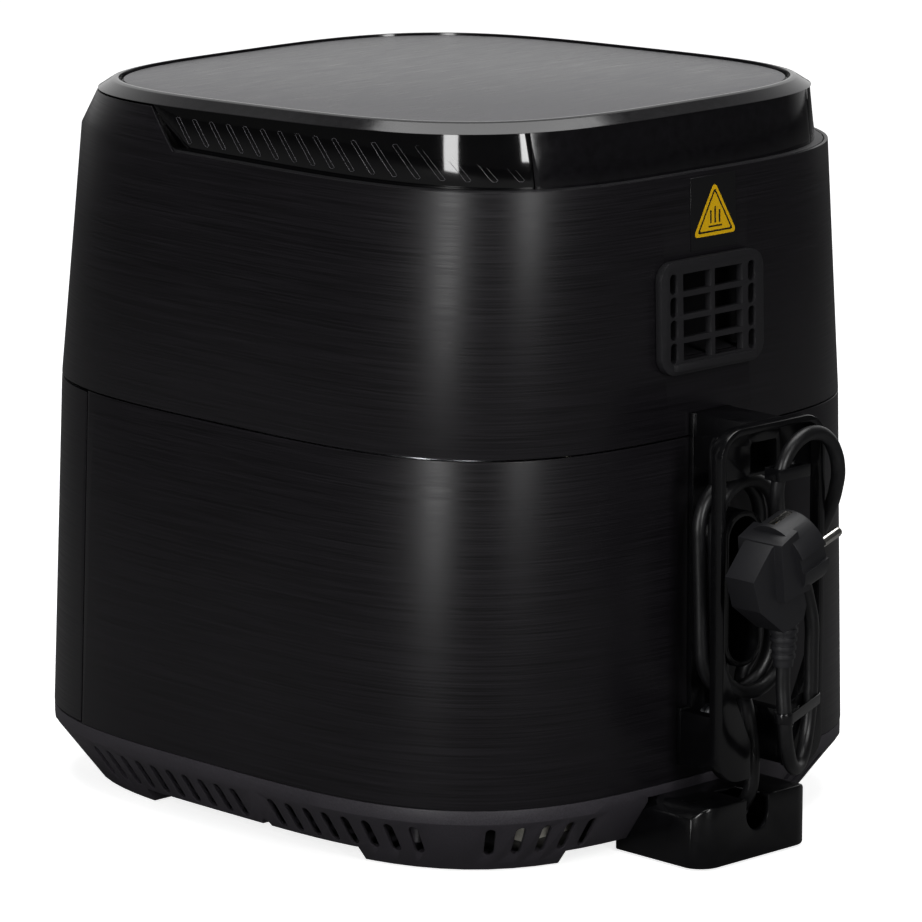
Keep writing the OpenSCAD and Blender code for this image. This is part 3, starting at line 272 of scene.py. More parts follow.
@contextmanager
def editing(piece: bpy.types.Object, kind: str = "VERT") -> Iterator[None]:
    """Opens a piece in edit mode with nothing of it selected, and closes it again.

    Args:
        piece: The mesh.
        kind: The select mode: VERT, EDGE or FACE.
    """
    choose(piece)
    bpy.ops.object.mode_set(mode="EDIT")
    bpy.ops.mesh.select_mode(type=kind)
    bpy.ops.mesh.select_all(action="DESELECT")
    yield
    bpy.ops.object.mode_set(mode="OBJECT")


def pick(piece: bpy.types.Object, test: Callable[[Vector, Vector], bool]) -> None:
    """Selects the faces that pass a test, in edit mode.

    Args:
        piece: The mesh being edited.
        test: Called with the middle and the normal of a face.
    """
    mesh = bmesh.from_edit_mesh(piece.data)
    mesh.normal_update()
    for face in mesh.faces:
        if test(face.calc_center_median(), face.normal):
            face.select_set(True)
    mesh.select_flush_mode()
    bmesh.update_edit_mesh(piece.data)


def modify(piece: bpy.types.Object, kind: str, **settings: object) -> None:
    """Adds a modifier with its settings and applies it."""
    choose(piece)
    modifier = piece.modifiers.new(kind.lower(), kind)
    for key, value in settings.items():
        setattr(modifier, key, value)
    bpy.ops.object.modifier_apply(modifier=modifier.name)


def soften(piece: bpy.types.Object, width: float, segments: int = 2, angle: float = 35.0) -> None:
    """Rounds the sharp edges of a piece and shades it smooth between them.

    Args:
        piece: The mesh.
        width: Width of the rounding in millimetres.
        segments: Faces across the rounding.
        angle: Edges sharper than this many degrees are rounded.
    """
    if width:
        modify(piece, "BEVEL", width=width * MM, segments=segments, limit_method="ANGLE",
               angle_limit=math.radians(angle), use_clamp_overlap=True)
    choose(piece)
    bpy.ops.object.shade_smooth_by_angle(angle=math.radians(40))


def cut(piece: bpy.types.Object, tool: bpy.types.Object) -> None:
    """Cuts a piece with a tool, which is then removed."""
    modify(piece, "BOOLEAN", object=tool, operation="DIFFERENCE", solver="EXACT")
    bpy.data.objects.remove(tool)


def block(low: Sequence[float], high: Sequence[float]) -> bpy.types.Object:
    """A box between two corners in millimetres, for cutting or as a start."""
    deselect()
    middle = [(a + b) / 2 * MM for a, b in zip(low, high)]
    bpy.ops.mesh.primitive_cube_add(size=1, location=middle)
    tool = bpy.context.object
    tool.scale = [(b - a) * MM for a, b in zip(low, high)]
    bpy.ops.object.transform_apply(location=True, rotation=True, scale=True)
    return tool


def rod(radius: float, length: float, place: Matrix) -> bpy.types.Object:
    """A cylinder from z 0 to its length in millimetres, put in place by a matrix."""
    deselect()
    bpy.ops.mesh.primitive_cylinder_add(vertices=48, radius=radius * MM, depth=length * MM,
                                        location=(0, 0, length * MM / 2))
    made = bpy.context.object
    bpy.ops.object.transform_apply(location=True, rotation=True, scale=True)
    made.data.transform(place)
    return made


def outward(piece: bpy.types.Object) -> None:
    """Merges doubles and turns all faces outwards."""
    with editing(piece, "FACE"):
        bpy.ops.mesh.select_all(action="SELECT")
        bpy.ops.mesh.remove_doubles(threshold=1e-6)
        bpy.ops.mesh.normals_make_consistent(inside=False)


BODY_OF = {node: body for body, nodes in frame["record"]["behaviour"]["bodies"].items() for node in nodes}
SLOT_OF = {part["node"]: part["material_slot"] for part in frame["record"]["subparts"]}


def settle(piece: bpy.types.Object, name: str, finish: Finish, like: str,
           replaces: Sequence[str] = ()) -> bpy.types.Object:
    """Names, dresses and seats a finished piece.

    Args:
        piece: The finished mesh or curve.
        name: Its name.
        finish: Its finish.
        like: The CAD node whose body and slot it shares.
        replaces: The CAD nodes that it stands for.

    Returns:
        The piece.
    """
    piece.name = name
    piece.data.name = name
    piece.data.materials.clear()
    piece.data.materials.append(finish.material())
    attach(piece, BODY_OF[like])
    if replaces:
        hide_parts(*replaces)
    LOG.info("%s rides on %s", name, BODY_OF[like])
    return piece


def refined(node: str, finish: Finish | None = None, width: float = 0.4,
            segments: int = 2) -> bpy.types.Object:
    """A softened copy of a CAD node that stands for it.

    Args:
        node: The CAD node.
        finish: Its finish, or None for the one of its slot.
        width: Rounding of its edges in millimetres.
        segments: Faces across the rounding.

    Returns:
        The piece.
    """
    piece = bpy.data.objects.new(f"{node}_skin", frame["nodes"][node].data.copy())
    bpy.context.scene.collection.objects.link(piece)
    choose(piece)
    bpy.ops.mesh.customdata_custom_splitnormals_clear()
    with editing(piece):
        bpy.ops.mesh.select_all(action="SELECT")
        bpy.ops.mesh.remove_doubles(threshold=2e-6)
        bpy.ops.mesh.dissolve_limited(angle_limit=math.radians(0.6))
    soften(piece, width, segments)
    return settle(piece, piece.name, finish or BY_SLOT[SLOT_OF[node]], node, [node])


# ---- outlines of the housing ----
SIDES = 256
POWER = 3.5


@dataclass(frozen=True)
class Section:
    """A level outline of the housing in millimetres: half sizes, shift along Y, height, slope."""

    half_w: float
    half_d: float
    shift: float
    z: float
    slope: float = 0.0

    def point(self, turn: float, inset: float = 0.0) -> Vector:
        """The point at an angle in radians, in metres."""
        a, b = self.half_w - inset, self.half_d - inset
        r = ((abs(math.cos(turn)) / a) ** POWER + (abs(math.sin(turn)) / b) ** POWER) ** (-1 / POWER)
        x, y = r * math.cos(turn), r * math.sin(turn) + self.shift
        return Vector((x, y, self.z + self.slope * y)) * MM

    def ring(self, inset: float = 0.0) -> list[Vector]:
        """All points of the outline."""
        return [self.point(math.tau * i / SIDES, inset) for i in range(SIDES)]

    def raised(self, rise: float) -> "Section":
        """The same outline, higher by some millimetres."""
        return Section(self.half_w, self.half_d, self.shift, self.z + rise, self.slope)

    def blend(self, other: "Section", share: float) -> "Section":
        """The outline part of the way to another."""
        mine = (self.half_w, self.half_d, self.shift, self.z, self.slope)
        far = (other.half_w, other.half_d, other.shift, other.z, other.slope)
        return Section(*[a + (b - a) * share for a, b in zip(mine, far)])


def skin(rings: Sequence[Sequence[Vector]], ends: bool = False) -> bpy.types.Object:
    """An open skin through a stack of rings, extruded from a circle.

    Args:
        rings: The points of each ring, in the same order.
        ends: Closes the first and last rings with a face.

    Returns:
        The new object, with its faces outwards.
    """
    deselect()
    bpy.ops.mesh.primitive_circle_add(vertices=len(rings[0]), radius=1)
    made = bpy.context.object
    for vertex, place in zip(made.data.vertices, rings[0]):
        vertex.co = place
    with editing(made):
        bpy.ops.mesh.select_all(action="SELECT")
        if ends:
            bpy.ops.mesh.edge_face_add()
            bpy.ops.mesh.duplicate()
            bpy.ops.mesh.delete(type="ONLY_FACE")
            bpy.ops.mesh.select_all(action="SELECT")
            bpy.ops.mesh.remove_doubles(threshold=1e-7)
        for old, new in zip(rings, rings[1:]):
            bpy.ops.mesh.extrude_edges_move(TRANSFORM_OT_translate={"value": (0, 0, 0)})
            mesh = bmesh.from_edit_mesh(made.data)
            order = {tuple(round(v * 1e7) for v in p): i for i, p in enumerate(old)}
            for vertex in mesh.verts:
                if vertex.select:
                    key = tuple(round(v * 1e7) for v in vertex.co)
                    index = order.get(key)
                    if index is None:
                        index = min(range(len(old)), key=lambda i: (old[i] - vertex.co).length_squared)
                    vertex.co = new[index]
            bmesh.update_edit_mesh(made.data)
        if ends:
            bpy.ops.mesh.edge_face_add()
    outward(made)
    return made


def keep_side(piece: bpy.types.Object, point: Sequence[float], normal: Sequence[float],
              above: float | None = None) -> None:
    """Cuts a skin by a plane and keeps the side that the normal points to.

    Args:
        piece: The open skin.
        point: A point of the plane in millimetres.
        normal: The plane's normal.
        above: Limits the cut to the faces above this height in millimetres.
    """
    place, way = Vector(point) * MM, Vector(normal)
    with editing(piece, "FACE"):
        if above is None:
            bpy.ops.mesh.select_all(action="SELECT")
            bpy.ops.mesh.bisect(plane_co=place, plane_no=way, clear_inner=True)
            above = math.inf
        floor = above * MM
        pick(piece, lambda middle, facing: middle.z > floor)
        bpy.ops.mesh.bisect(plane_co=place, plane_no=way)
        bpy.ops.mesh.select_all(action="DESELECT")
        pick(piece, lambda middle, facing: middle.z > floor and (middle - place).dot(way) < 0)
        bpy.ops.mesh.delete(type="FACE")


@dataclass
class Housing:
    """The film-wrapped shells, the lid and the belt under it, in millimetres.

    The sections stand at the height where each piece ends. The seam is the gap between two pieces,
    and the tuck is how far the belt's top edge lies inside the rim. The reach is past the housing's
    front and rear faces. The panel is the glass in front, and the vent is the window of the grille.
    """

    base: Section = Section(160.5, 179.0, 0.0, 36.0)
    mid: Section = Section(154.1, 177.2, 1.5, 204.0)
    ledge: Section = Section(144.5, 171.0, 4.5, 329.0)
    belt: Section = Section(139.0, 165.5, 4.5, 329.0)
    rim: Section = Section(139.0, 162.5, 4.5, 350.5, 0.03)
    lid: Section = Section(133.0, 156.5, 4.5, 355.5, 0.03)
    seam: float = 0.8
    tuck: float = 0.8
    wall: float = 1.8
    front_wall: float = 2.2
    front_y: float = -100.0
    cut_low: tuple[float, float] = (-40.0, 329.0)
    cut_high: tuple[float, float] = (-66.0, 350.5)
    insert_x: float = 94.2
    reach: float = 200.0
    panel_x: float = 98.0
    panel_y: float = -60.0
    panel_z: tuple[float, float] = (226.0, 338.5)
    panel_gap: float = 0.3
    vent_x: float = 28.0
    vent_y: float = 100.0
    vent_z: tuple[float, float] = (242.0, 282.0)
    post_x: float = 41.0
    post_bore_r: float = 7.15
    slots: int = 17
    slot_start: float = 14.7
    slot_pitch: float = 12.3
    slot_wide: float = 3.0
    slot_foot: float = 333.6
    slot_head: float = 344.0
    slot_proud: float = 0.06
    cut_normal: Vector = field(init=False)

    def __post_init__(self) -> None:
        """Works out which way the slanted end of the raised front faces: up and to the rear."""
        dy, dz = self.cut_high[0] - self.cut_low[0], self.cut_high[1] - self.cut_low[1]
        self.cut_normal = Vector((0, dz, -dy)).normalized()

    def build(self) -> None:
        """Builds all the pieces."""
        self.lower()
        self.drawer_front()
        self.upper()
        self.rim_and_belt()
        self.top_plate()

    def thicken(self, piece: bpy.types.Object, wall: float, edge: float) -> None:
        """Gives a skin its wall, inwards, and rounds the edges."""
        modify(piece, "SOLIDIFY", thickness=wall * MM, offset=-1.0, use_even_offset=True)
        soften(piece, edge, 3)

    def lower(self) -> None:
        """The lower shell, behind the drawer seam."""
        top = self.base.blend(self.mid, 1 - self.seam / (self.mid.z - self.base.z))
        shell = skin([self.base.ring(), self.base.blend(self.mid, 0.5).ring(), top.ring()])
        keep_side(shell, (0, self.front_y, 0), (0, 1, 0))
        self.thicken(shell, self.wall, 0.4)
        settle(shell, "lower_shell_skin", WRAP, "lower_shell", ["lower_shell"])

    def drawer_front(self) -> None:
        """The front of the drawer, bored for the handle's posts."""
        seam = self.seam / (self.mid.z - self.base.z)
        foot, head = self.base.blend(self.mid, seam), self.base.blend(self.mid, 1 - 2 * seam)
        front = skin([foot.ring(), foot.blend(head, 0.5).ring(), head.ring()])
        keep_side(front, (0, self.front_y - self.seam, 0), (0, -1, 0))
        modify(front, "SOLIDIFY", thickness=self.front_wall * MM, offset=-1.0, use_even_offset=True)
        low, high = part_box("handle_bar")
        for side in (-1, 1):
            place = Matrix.Translation((side * self.post_x * MM, -0.24, (low.z + high.z) / 2)) \
                @ Matrix.Rotation(-math.pi / 2, 4, "X")
            cut(front, rod(self.post_bore_r, 120, place))
        soften(front, 0.6, 3)
        settle(front, "drawer_front_skin", WRAP, "drawer_front", ["drawer_front"])

    def upper(self) -> None:
        """The upper shell, with its raised front, and the windows of the panel and the grille."""
        brow = self.rim.raised(-self.seam)
        shell = skin([self.mid.ring(), self.mid.blend(self.ledge, 0.5).ring(), self.ledge.ring(),
                      brow.ring()])
        keep_side(shell, (0, *self.cut_low), -self.cut_normal, self.ledge.z)
        modify(shell, "SOLIDIFY", thickness=self.wall * MM, offset=-1.0, use_even_offset=True)
        side, (low, high), gap = self.panel_x, self.panel_z, self.panel_gap
        cut(shell, block((-side - gap, -self.reach, low - gap), (side + gap, self.panel_y, high + gap)))
        foot, head = self.vent_z
        cut(shell, block((-self.vent_x, self.vent_y, foot), (self.vent_x, self.reach, head)))
        soften(shell, 0.6, 3)
        settle(shell, "upper_shell_skin", WRAP, "upper_shell", ["upper_shell"])
        glass = skin([self.mid.ring(), self.mid.blend(self.ledge, 0.5).ring(), self.ledge.ring(),
                      brow.ring()])
        for point, normal in (((-side, 0, 0), (1, 0, 0)), ((side, 0, 0), (-1, 0, 0)),
                              ((0, self.panel_y, 0), (0, -1, 0)), ((0, 0, low), (0, 0, 1)),
                              ((0, 0, high), (0, 0, -1))):
            keep_side(glass, point, normal)
        self.thicken(glass, self.wall, 0.5)
        settle(glass, "control_glass", GLASS, "control_panel", ["control_panel"])

    def belt_skin(self) -> bpy.types.Object:
        """The skin of the belt behind the slanted cut, with the seam's gap along it."""
        tucked = Section(self.rim.half_w - self.tuck, self.rim.half_d - self.tuck, self.rim.shift,
                         self.rim.z + 0.4, self.rim.slope)
        band = skin([self.belt.ring(), tucked.ring()])
        keep_side(band, (0, self.cut_low[0] + self.seam, self.cut_low[1]), self.cut_normal)
        return band

    def rim_and_belt(self) -> None:
        """The rim with its straight chamfer, the rear of the belt, and the two glossy inserts."""
        low, high = self.rim, self.lid.raised(-0.55)
        rings = [low.raised(0.1).ring(4.0), low.raised(0.1).ring(), low.blend(high, 0.12).ring(),
                 high.ring(), self.lid.ring(1.7), self.lid.ring(3.0), self.lid.raised(-3.6).ring(3.0)]
        rim = skin(rings, ends=True)
        soften(rim, 0.3, 3, 14)
        settle(rim, "rim_ring", RIM, "top_rim", ["top_rim"])
        rear = self.belt_skin()
        for side in (-1, 1):
            keep_side(rear, (side * self.insert_x, 0, 0), (-side, 0, 0))
        keep_side(rear, (0, 0, 0), (0, 1, 0))
        self.thicken(rear, 3.0, 0.3)
        settle(rear, "belt_rear", RIM, "top_rim")
        for side, node in ((1, "belt_insert_left"), (-1, "belt_insert_right")):
            piece = self.belt_skin()
            keep_side(piece, (side * (self.insert_x + 0.3), 0, 0), (side, 0, 0))
            self.thicken(piece, 3.0, 0.35)
            settle(piece, f"{node}_gloss", GLOSS, node, [node])
            self.hairlines(side, node)

    def belt_point(self, turn: float, z: float, side: int) -> Vector:
        """The point of the belt's face at an angle and a height, just proud of it, in metres."""
        share = (z - self.belt.z) / (self.rim.z - self.belt.z)
        half_w = self.belt.half_w + (self.rim.half_w - self.tuck - self.belt.half_w) * share
        half_d = self.belt.half_d + (self.rim.half_d - self.tuck - self.belt.half_d) * share
        place = Section(half_w + self.slot_proud, half_d + self.slot_proud, self.belt.shift, z).point(turn)
        place.x *= side
        return place

    def hairlines(self, side: int, node: str) -> None:
        """The slanted slots pressed into an insert, as thin outlines whose pale grey paints the highlight on
        their edges.

        Args:
            side: 1 for the +X insert, -1 for the other.
            node: The insert's CAD node.
        """
        turns = [-0.9 + 0.0015 * i for i in range(1500)]
        line = [self.belt_point(t, 340, 1) for t in turns]
        run, arc = [0.0], 0.0
        for a, b in zip(line, line[1:]):
            arc += (b - a).length / MM
            run.append(arc)
        start = next(r for r, p in zip(run, line) if p.y > -0.0465)

        def at(s: float, z: float) -> Vector:
            """The point a run along the belt from its front end, at a height, in millimetres."""
            low = 0
            high = len(run) - 1
            while high - low > 1:
                half = (low + high) // 2
                low, high = (half, high) if run[half] < start + s else (low, half)
            return self.belt_point(turns[low], z, side)

        bottom, wide, tip, steps = self.slot_foot, self.slot_wide, 0.7, 6
        outlines = []
        for i in range(self.slots):
            s, top = self.slot_start + self.slot_pitch * i, self.slot_head + min(4.5, 0.28 * i)
            lean = (top - bottom) * 0.86
            path = []
            for k in range(steps + 1):
                path.append((s - lean * k / steps, bottom + (top - bottom) * k / steps))
            path.append((s - lean - wide * 0.25, top + tip))
            path.append((s - lean - wide * 0.75, top + tip))
            for k in range(steps + 1):
                path.append((s - wide - lean * (steps - k) / steps, top - (top - bottom) * k / steps))
            path.append((s - wide * 0.75, bottom - tip))
            path.append((s - wide * 0.25, bottom - tip))
            outlines.append([at(a, z) for a, z in path])
        curve = bpy.data.curves.new(f"{node}_slots", "CURVE")
        curve.dimensions = "3D"
        curve.bevel_depth = 0.13 * MM
        curve.bevel_resolution = 1
        for path in outlines:
            spline = curve.splines.new("POLY")
            spline.points.add(len(path) - 1)
            spline.use_cyclic_u = True
            for point, place in zip(spline.points, path):
                point.co = (*place, 1)
        piece = bpy.data.objects.new(f"{node}_slots", curve)
        bpy.context.scene.collection.objects.link(piece)
        choose(piece)
        bpy.ops.object.convert(target="MESH")
        soften(bpy.context.object, 0)
        # The outlines' pale grey is a painted highlight of the slots' edges.
        settle(bpy.context.object, f"{node}_slots", SLOT_EDGE_GLINT, node)

    def top_plate(self) -> None:
        """The brushed plate sunk into the rim."""
        rings = [self.lid.raised(-3.4).ring(5.0), self.lid.raised(-1.35).ring(5.0),
                 self.lid.raised(-1.08).ring(5.12), self.lid.raised(-1.0).ring(5.45)]
        plate = skin(rings, ends=True)
        soften(plate, 0)
        settle(plate, "top_plate", TOP, "top_panel", ["top_panel"])


# ---- rear of the housing ----
@dataclass
class RearLabel:
    """A dark sticker with a plain yellow triangle and bars, in millimetres."""

    housing: Housing
    x: float = -6.0
    apex_z: float = 322.0
    foot_z: float = 298.5
    half_w: float = 13.4

    def build(self) -> None:
        """Builds the film, the triangle, its line and the bars."""
        refined("heat_label", FILM, 0.08, 1)
        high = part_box("heat_label")[1].y / MM
        mid, ledge = self.housing.mid, self.housing.ledge
        tilt = (ledge.half_d + ledge.shift - mid.half_d - mid.shift) / (ledge.z - mid.z)
        self.triangle("label_triangle", YELLOW, 0.0, high, 0.06, tilt)
        self.triangle("label_line", INK, 1.6, high, 0.12, tilt)
        self.triangle("label_field", YELLOW, 2.5, high, 0.18, tilt)
        for i, (x, z0, z1, half) in enumerate(((-3.0, 303.6, 309.8, 0.55), (0.0, 303.6, 311.6, 0.55),
                                               (3.0, 303.6, 309.8, 0.55), (0.0, 301.7, 302.6, 4.6))):
            bar = block((self.x + x - half, -0.4, z0), (self.x + x + half, 0, z1))
            self.seat(bar, high, 0.24, tilt)
            soften(bar, 0.15)
            settle(bar, f"label_bar_{i}", INK, "heat_label")

    def seat(self, piece: bpy.types.Object, high: float, proud: float, tilt: float) -> None:
        """Leans a flat piece made on y 0 onto the sticker's face, proud of it by some millimetres."""
        for vertex in piece.data.vertices:
            vertex.co.y += (high + proud) * MM + tilt * (vertex.co.z - 0.2915)

    def triangle(self, name: str, finish: Finish, inset: float, high: float, proud: float,
                 tilt: float) -> None:
        """A thin rounded triangle, drawn in by an inset from the outer one."""
        deselect()
        middle = self.foot_z + (self.apex_z - self.foot_z) / 3
        radius = (self.apex_z - self.foot_z) * 2 / 3 - 2 * inset + 1.6
        bpy.ops.mesh.primitive_circle_add(vertices=3, radius=radius * MM, fill_type="NGON")
        made = bpy.context.object
        with editing(made):
            bpy.ops.mesh.select_all(action="SELECT")
            bpy.ops.mesh.bevel(offset=max(1.0, 3.2 - inset) * MM, segments=6, affect="VERTICES")
            bpy.ops.mesh.select_all(action="SELECT")
            bpy.ops.mesh.extrude_region_move(TRANSFORM_OT_translate={"value": (0, 0, 0.1 * MM)})
        low = min(v.co.y for v in made.data.vertices)
        flip = max(v.co.y for v in made.data.vertices) > -low
        for vertex in made.data.vertices:
            x, y, z = vertex.co
            up = y if flip else -y
            vertex.co = (x + self.x * MM, z - 0.1 * MM, up + middle * MM)
        outward(made)
        self.seat(made, high, proud, tilt)
        soften(made, 0)
        settle(made, name, finish, "heat_label")


# ---- mains cord ----
@dataclass
class MainsCord:
    """The cord from the gland round the bracket to the plug: its route in millimetres."""

    radius: float = 3.5
    outlet: tuple = ((0, 203, 24), (0, 206, 28), (0, 209, 34), (0, 210, 42), (0, 210, 51),
                     (-2, 207, 60), (-6, 201, 69), (-9, 196, 75))
    run: tuple = ((-30, 206, 120), (-32, 208, 128), (-36, 210, 138), (-39, 212, 148),
                  (-41, 216, 158), (-41, 221, 168), (-39, 226, 178), (-37, 229, 188),
                  (-34, 229, 198), (-28, 229, 205), (-20, 229, 208), (-11, 229, 207),
                  (-3, 229, 202), (2, 229, 195), (4, 228, 186), (3, 227, 176), (0, 226, 167),
                  (-5, 226, 158), (-11, 226, 148), (-16, 226, 138), (-20, 226, 127),
                  (-22, 227, 115), (-22, 227, 100), (-22, 227, 85), (-21, 227, 71),
                  (-18, 228, 60), (-12, 231, 52), (-4, 235, 49), (4, 239, 52), (10, 242, 60),
                  (13, 243, 70), (14, 243, 81), (14, 242, 92), (14, 242, 103))
    fold: float = 22.5
    low_z: float = 102.0
    high_z: float = 160.0
    turns: int = 2
    drift_x: float = -7.5
    y_span: tuple[float, float] = (189.0, 203.5)

    def winding(self) -> list[tuple[float, float, float]]:
        """The turns round the bracket: up the -X side, over the top, down the +X side and under."""
        stops = []
        lead = math.radians(50)
        bend = math.pi * self.fold
        tall = self.high_z - self.low_z
        lap = 2 * bend + 2 * tall
        whole = lead * self.fold + self.turns * lap
        count = 2 + self.turns * 22
        for i in range(count):
            gone = whole * i / (count - 1)
            share = gone / whole
            s = gone - lead * self.fold
            s = s % lap if s >= 0 else s
            if s < 0:
                x, z = self.arc(self.low_z, math.pi - s / self.fold)
            elif s < tall:
                x, z = -self.fold, self.low_z + s
            elif s < tall + bend:
                x, z = self.arc(self.high_z, math.pi - (s - tall) / self.fold)
            elif s < 2 * tall + bend:
                x, z = self.fold, self.high_z - (s - tall - bend)
            else:
                x, z = self.arc(self.low_z, -(s - 2 * tall - bend) / self.fold)
            y = self.y_span[0] + (self.y_span[1] - self.y_span[0]) * share
            stops.append((x + self.drift_x * share, y, z))
        return stops[:-1] + [(-self.fold + self.drift_x, self.y_span[1], self.low_z)]

    def arc(self, z: float, turn: float) -> tuple[float, float]:
        """The x and z of a fold's point at an angle."""
        return self.fold * math.cos(turn), z + self.fold * math.sin(turn)

    def build(self) -> bpy.types.Object:
        """Makes the cord as one smooth curve with its round sheath."""
        path = [*self.outlet, *self.winding(), *self.run]
        curve = bpy.data.curves.new("mains_cord", "CURVE")
        curve.dimensions = "3D"
        curve.bevel_depth = self.radius * MM
        curve.bevel_resolution = 5
        curve.resolution_u = 5
        curve.use_fill_caps = True
        spline = curve.splines.new("BEZIER")
        spline.bezier_points.add(len(path) - 1)
        for point, place in zip(spline.bezier_points, path):
            point.co = Vector(place) * MM
            point.handle_left_type = point.handle_right_type = "AUTO"
        cord = bpy.data.objects.new("mains_cord", curve)
        bpy.context.scene.collection.objects.link(cord)
        settle(cord, "mains_cord", SHEATH, "cord_hank", ["cord_outlet_run", "cord_hank", "cord_plug_run"])
        points = [Vector(p) for p in path]
        LOG.info("cord is about %.0f mm", sum((b - a).length for a, b in zip(points, points[1:])))
        return cord


@dataclass
class PlugAndTies:
    """The plug on the cord with its pins and earth clips, and the ties that bundle the cord."""

    place: Matrix = field(default_factory=lambda: Matrix.Translation((0.0045, 0.2425, 0.160))
                          @ Matrix.Rotation(math.radians(-72), 4, "Y"))
    face_r: float = 18.5

    def build(self) -> list[bpy.types.Object]:
        """Builds all the pieces and returns them."""
        body = refined("mains_plug", PLUG, 1.4, 4)
        pins = refined("plug_pins", NICKEL, 0.7, 3)
        ties = refined("cord_ties", TIE, 0.25, 2)
        return [body, pins, ties, *self.earth_clips()]

    def earth_clips(self) -> list[bpy.types.Object]:
        """The two sprung earth contacts, sunk in the sides of the plug's face."""
        clips = []
        for side in (-1, 1):
            clip = block((side * self.face_r - 1.2, -2.2, -15), (side * self.face_r + 0.15, 2.2, -1.5))
            with editing(clip, "FACE"):
                pick(clip, lambda middle, facing: facing.x * side > 0.9)
                bpy.ops.mesh.inset(thickness=0.5 * MM, depth=-0.15 * MM)
            clip.data.transform(self.place)
            soften(clip, 0.15)
            clips.append(settle(clip, f"earth_clip_{'low' if side < 0 else 'high'}", NICKEL, "plug_pins"))
        return clips


# ---- front ----
@dataclass
class Display:
    """Plain lit figures and round touch marks on the glass, in millimetres."""

    housing: Housing
    z: float = 296.0
    tall: float = 17.0
    wide: float = 9.0
    glass_out: float = 0.12

    def front(self, x: float, z: float) -> float:
        """The y of the glass face at a place."""
        mid, ledge = self.housing.mid, self.housing.ledge
        here = mid.blend(ledge, (z - mid.z) / (ledge.z - mid.z))
        return here.shift - here.half_d * (1 - (abs(x) / here.half_w) ** POWER) ** (1 / POWER)

    def segment(self, x: float, z: float, level: bool) -> bpy.types.Object:
        """One lit bar, level or upright, laid on the glass."""
        half_w, half_h = (self.wide * 0.36, 0.7) if level else (0.7, self.tall * 0.19)
        y = self.front(x, z)
        bar = block((x - half_w, y - self.glass_out, z - half_h), (x + half_w, y + 0.4, z + half_h))
        soften(bar, 0.1, 1)
        return bar

    def build(self) -> None:
        """Builds the figures 180, and a row of touch marks."""
        lit = {"1": "bc", "8": "abcdefg", "0": "abcdef"}
        spots = {"a": (0, 1, True), "g": (0, 0, True), "d": (0, -1, True), "b": (1, 0.5, False),
                 "c": (1, -0.5, False), "f": (-1, 0.5, False), "e": (-1, -0.5, False)}
        bars = []
        for i, figure in enumerate("180"):
            for name in lit[figure]:
                dx, dz, level = spots[name]
                bars.append(self.segment((i - 1) * 14 + dx * self.wide / 2, self.z + dz * self.tall / 2,
                                         level))
        for i in range(7):
            bars.append(self.touch_mark((i - 3) * 22.0, 256.0))
        deselect()
        for bar in bars:
            bar.select_set(True)
        bpy.context.view_layer.objects.active = bars[0]
        bpy.ops.object.join()
        settle(bpy.context.object, "display_figures", LIT, "control_panel")

    def touch_mark(self, x: float, z: float) -> bpy.types.Object:
        """A thin ring around a touch field."""
        deselect()
        y = self.front(x, z)
        bpy.ops.mesh.primitive_torus_add(major_radius=5.5 * MM, minor_radius=0.25 * MM, major_segments=40,
                                         minor_segments=6, location=(x * MM, (y + 0.05) * MM, z * MM),
                                         rotation=(math.pi / 2, 0, 0))
        made = bpy.context.object
        bpy.ops.object.transform_apply(location=True, rotation=True, scale=True)
        slope = (self.front(x + 1, z) - self.front(x - 1, z)) / 2
        for vertex in made.data.vertices:
            vertex.co.y += slope * (vertex.co.x - x * MM)
        return made


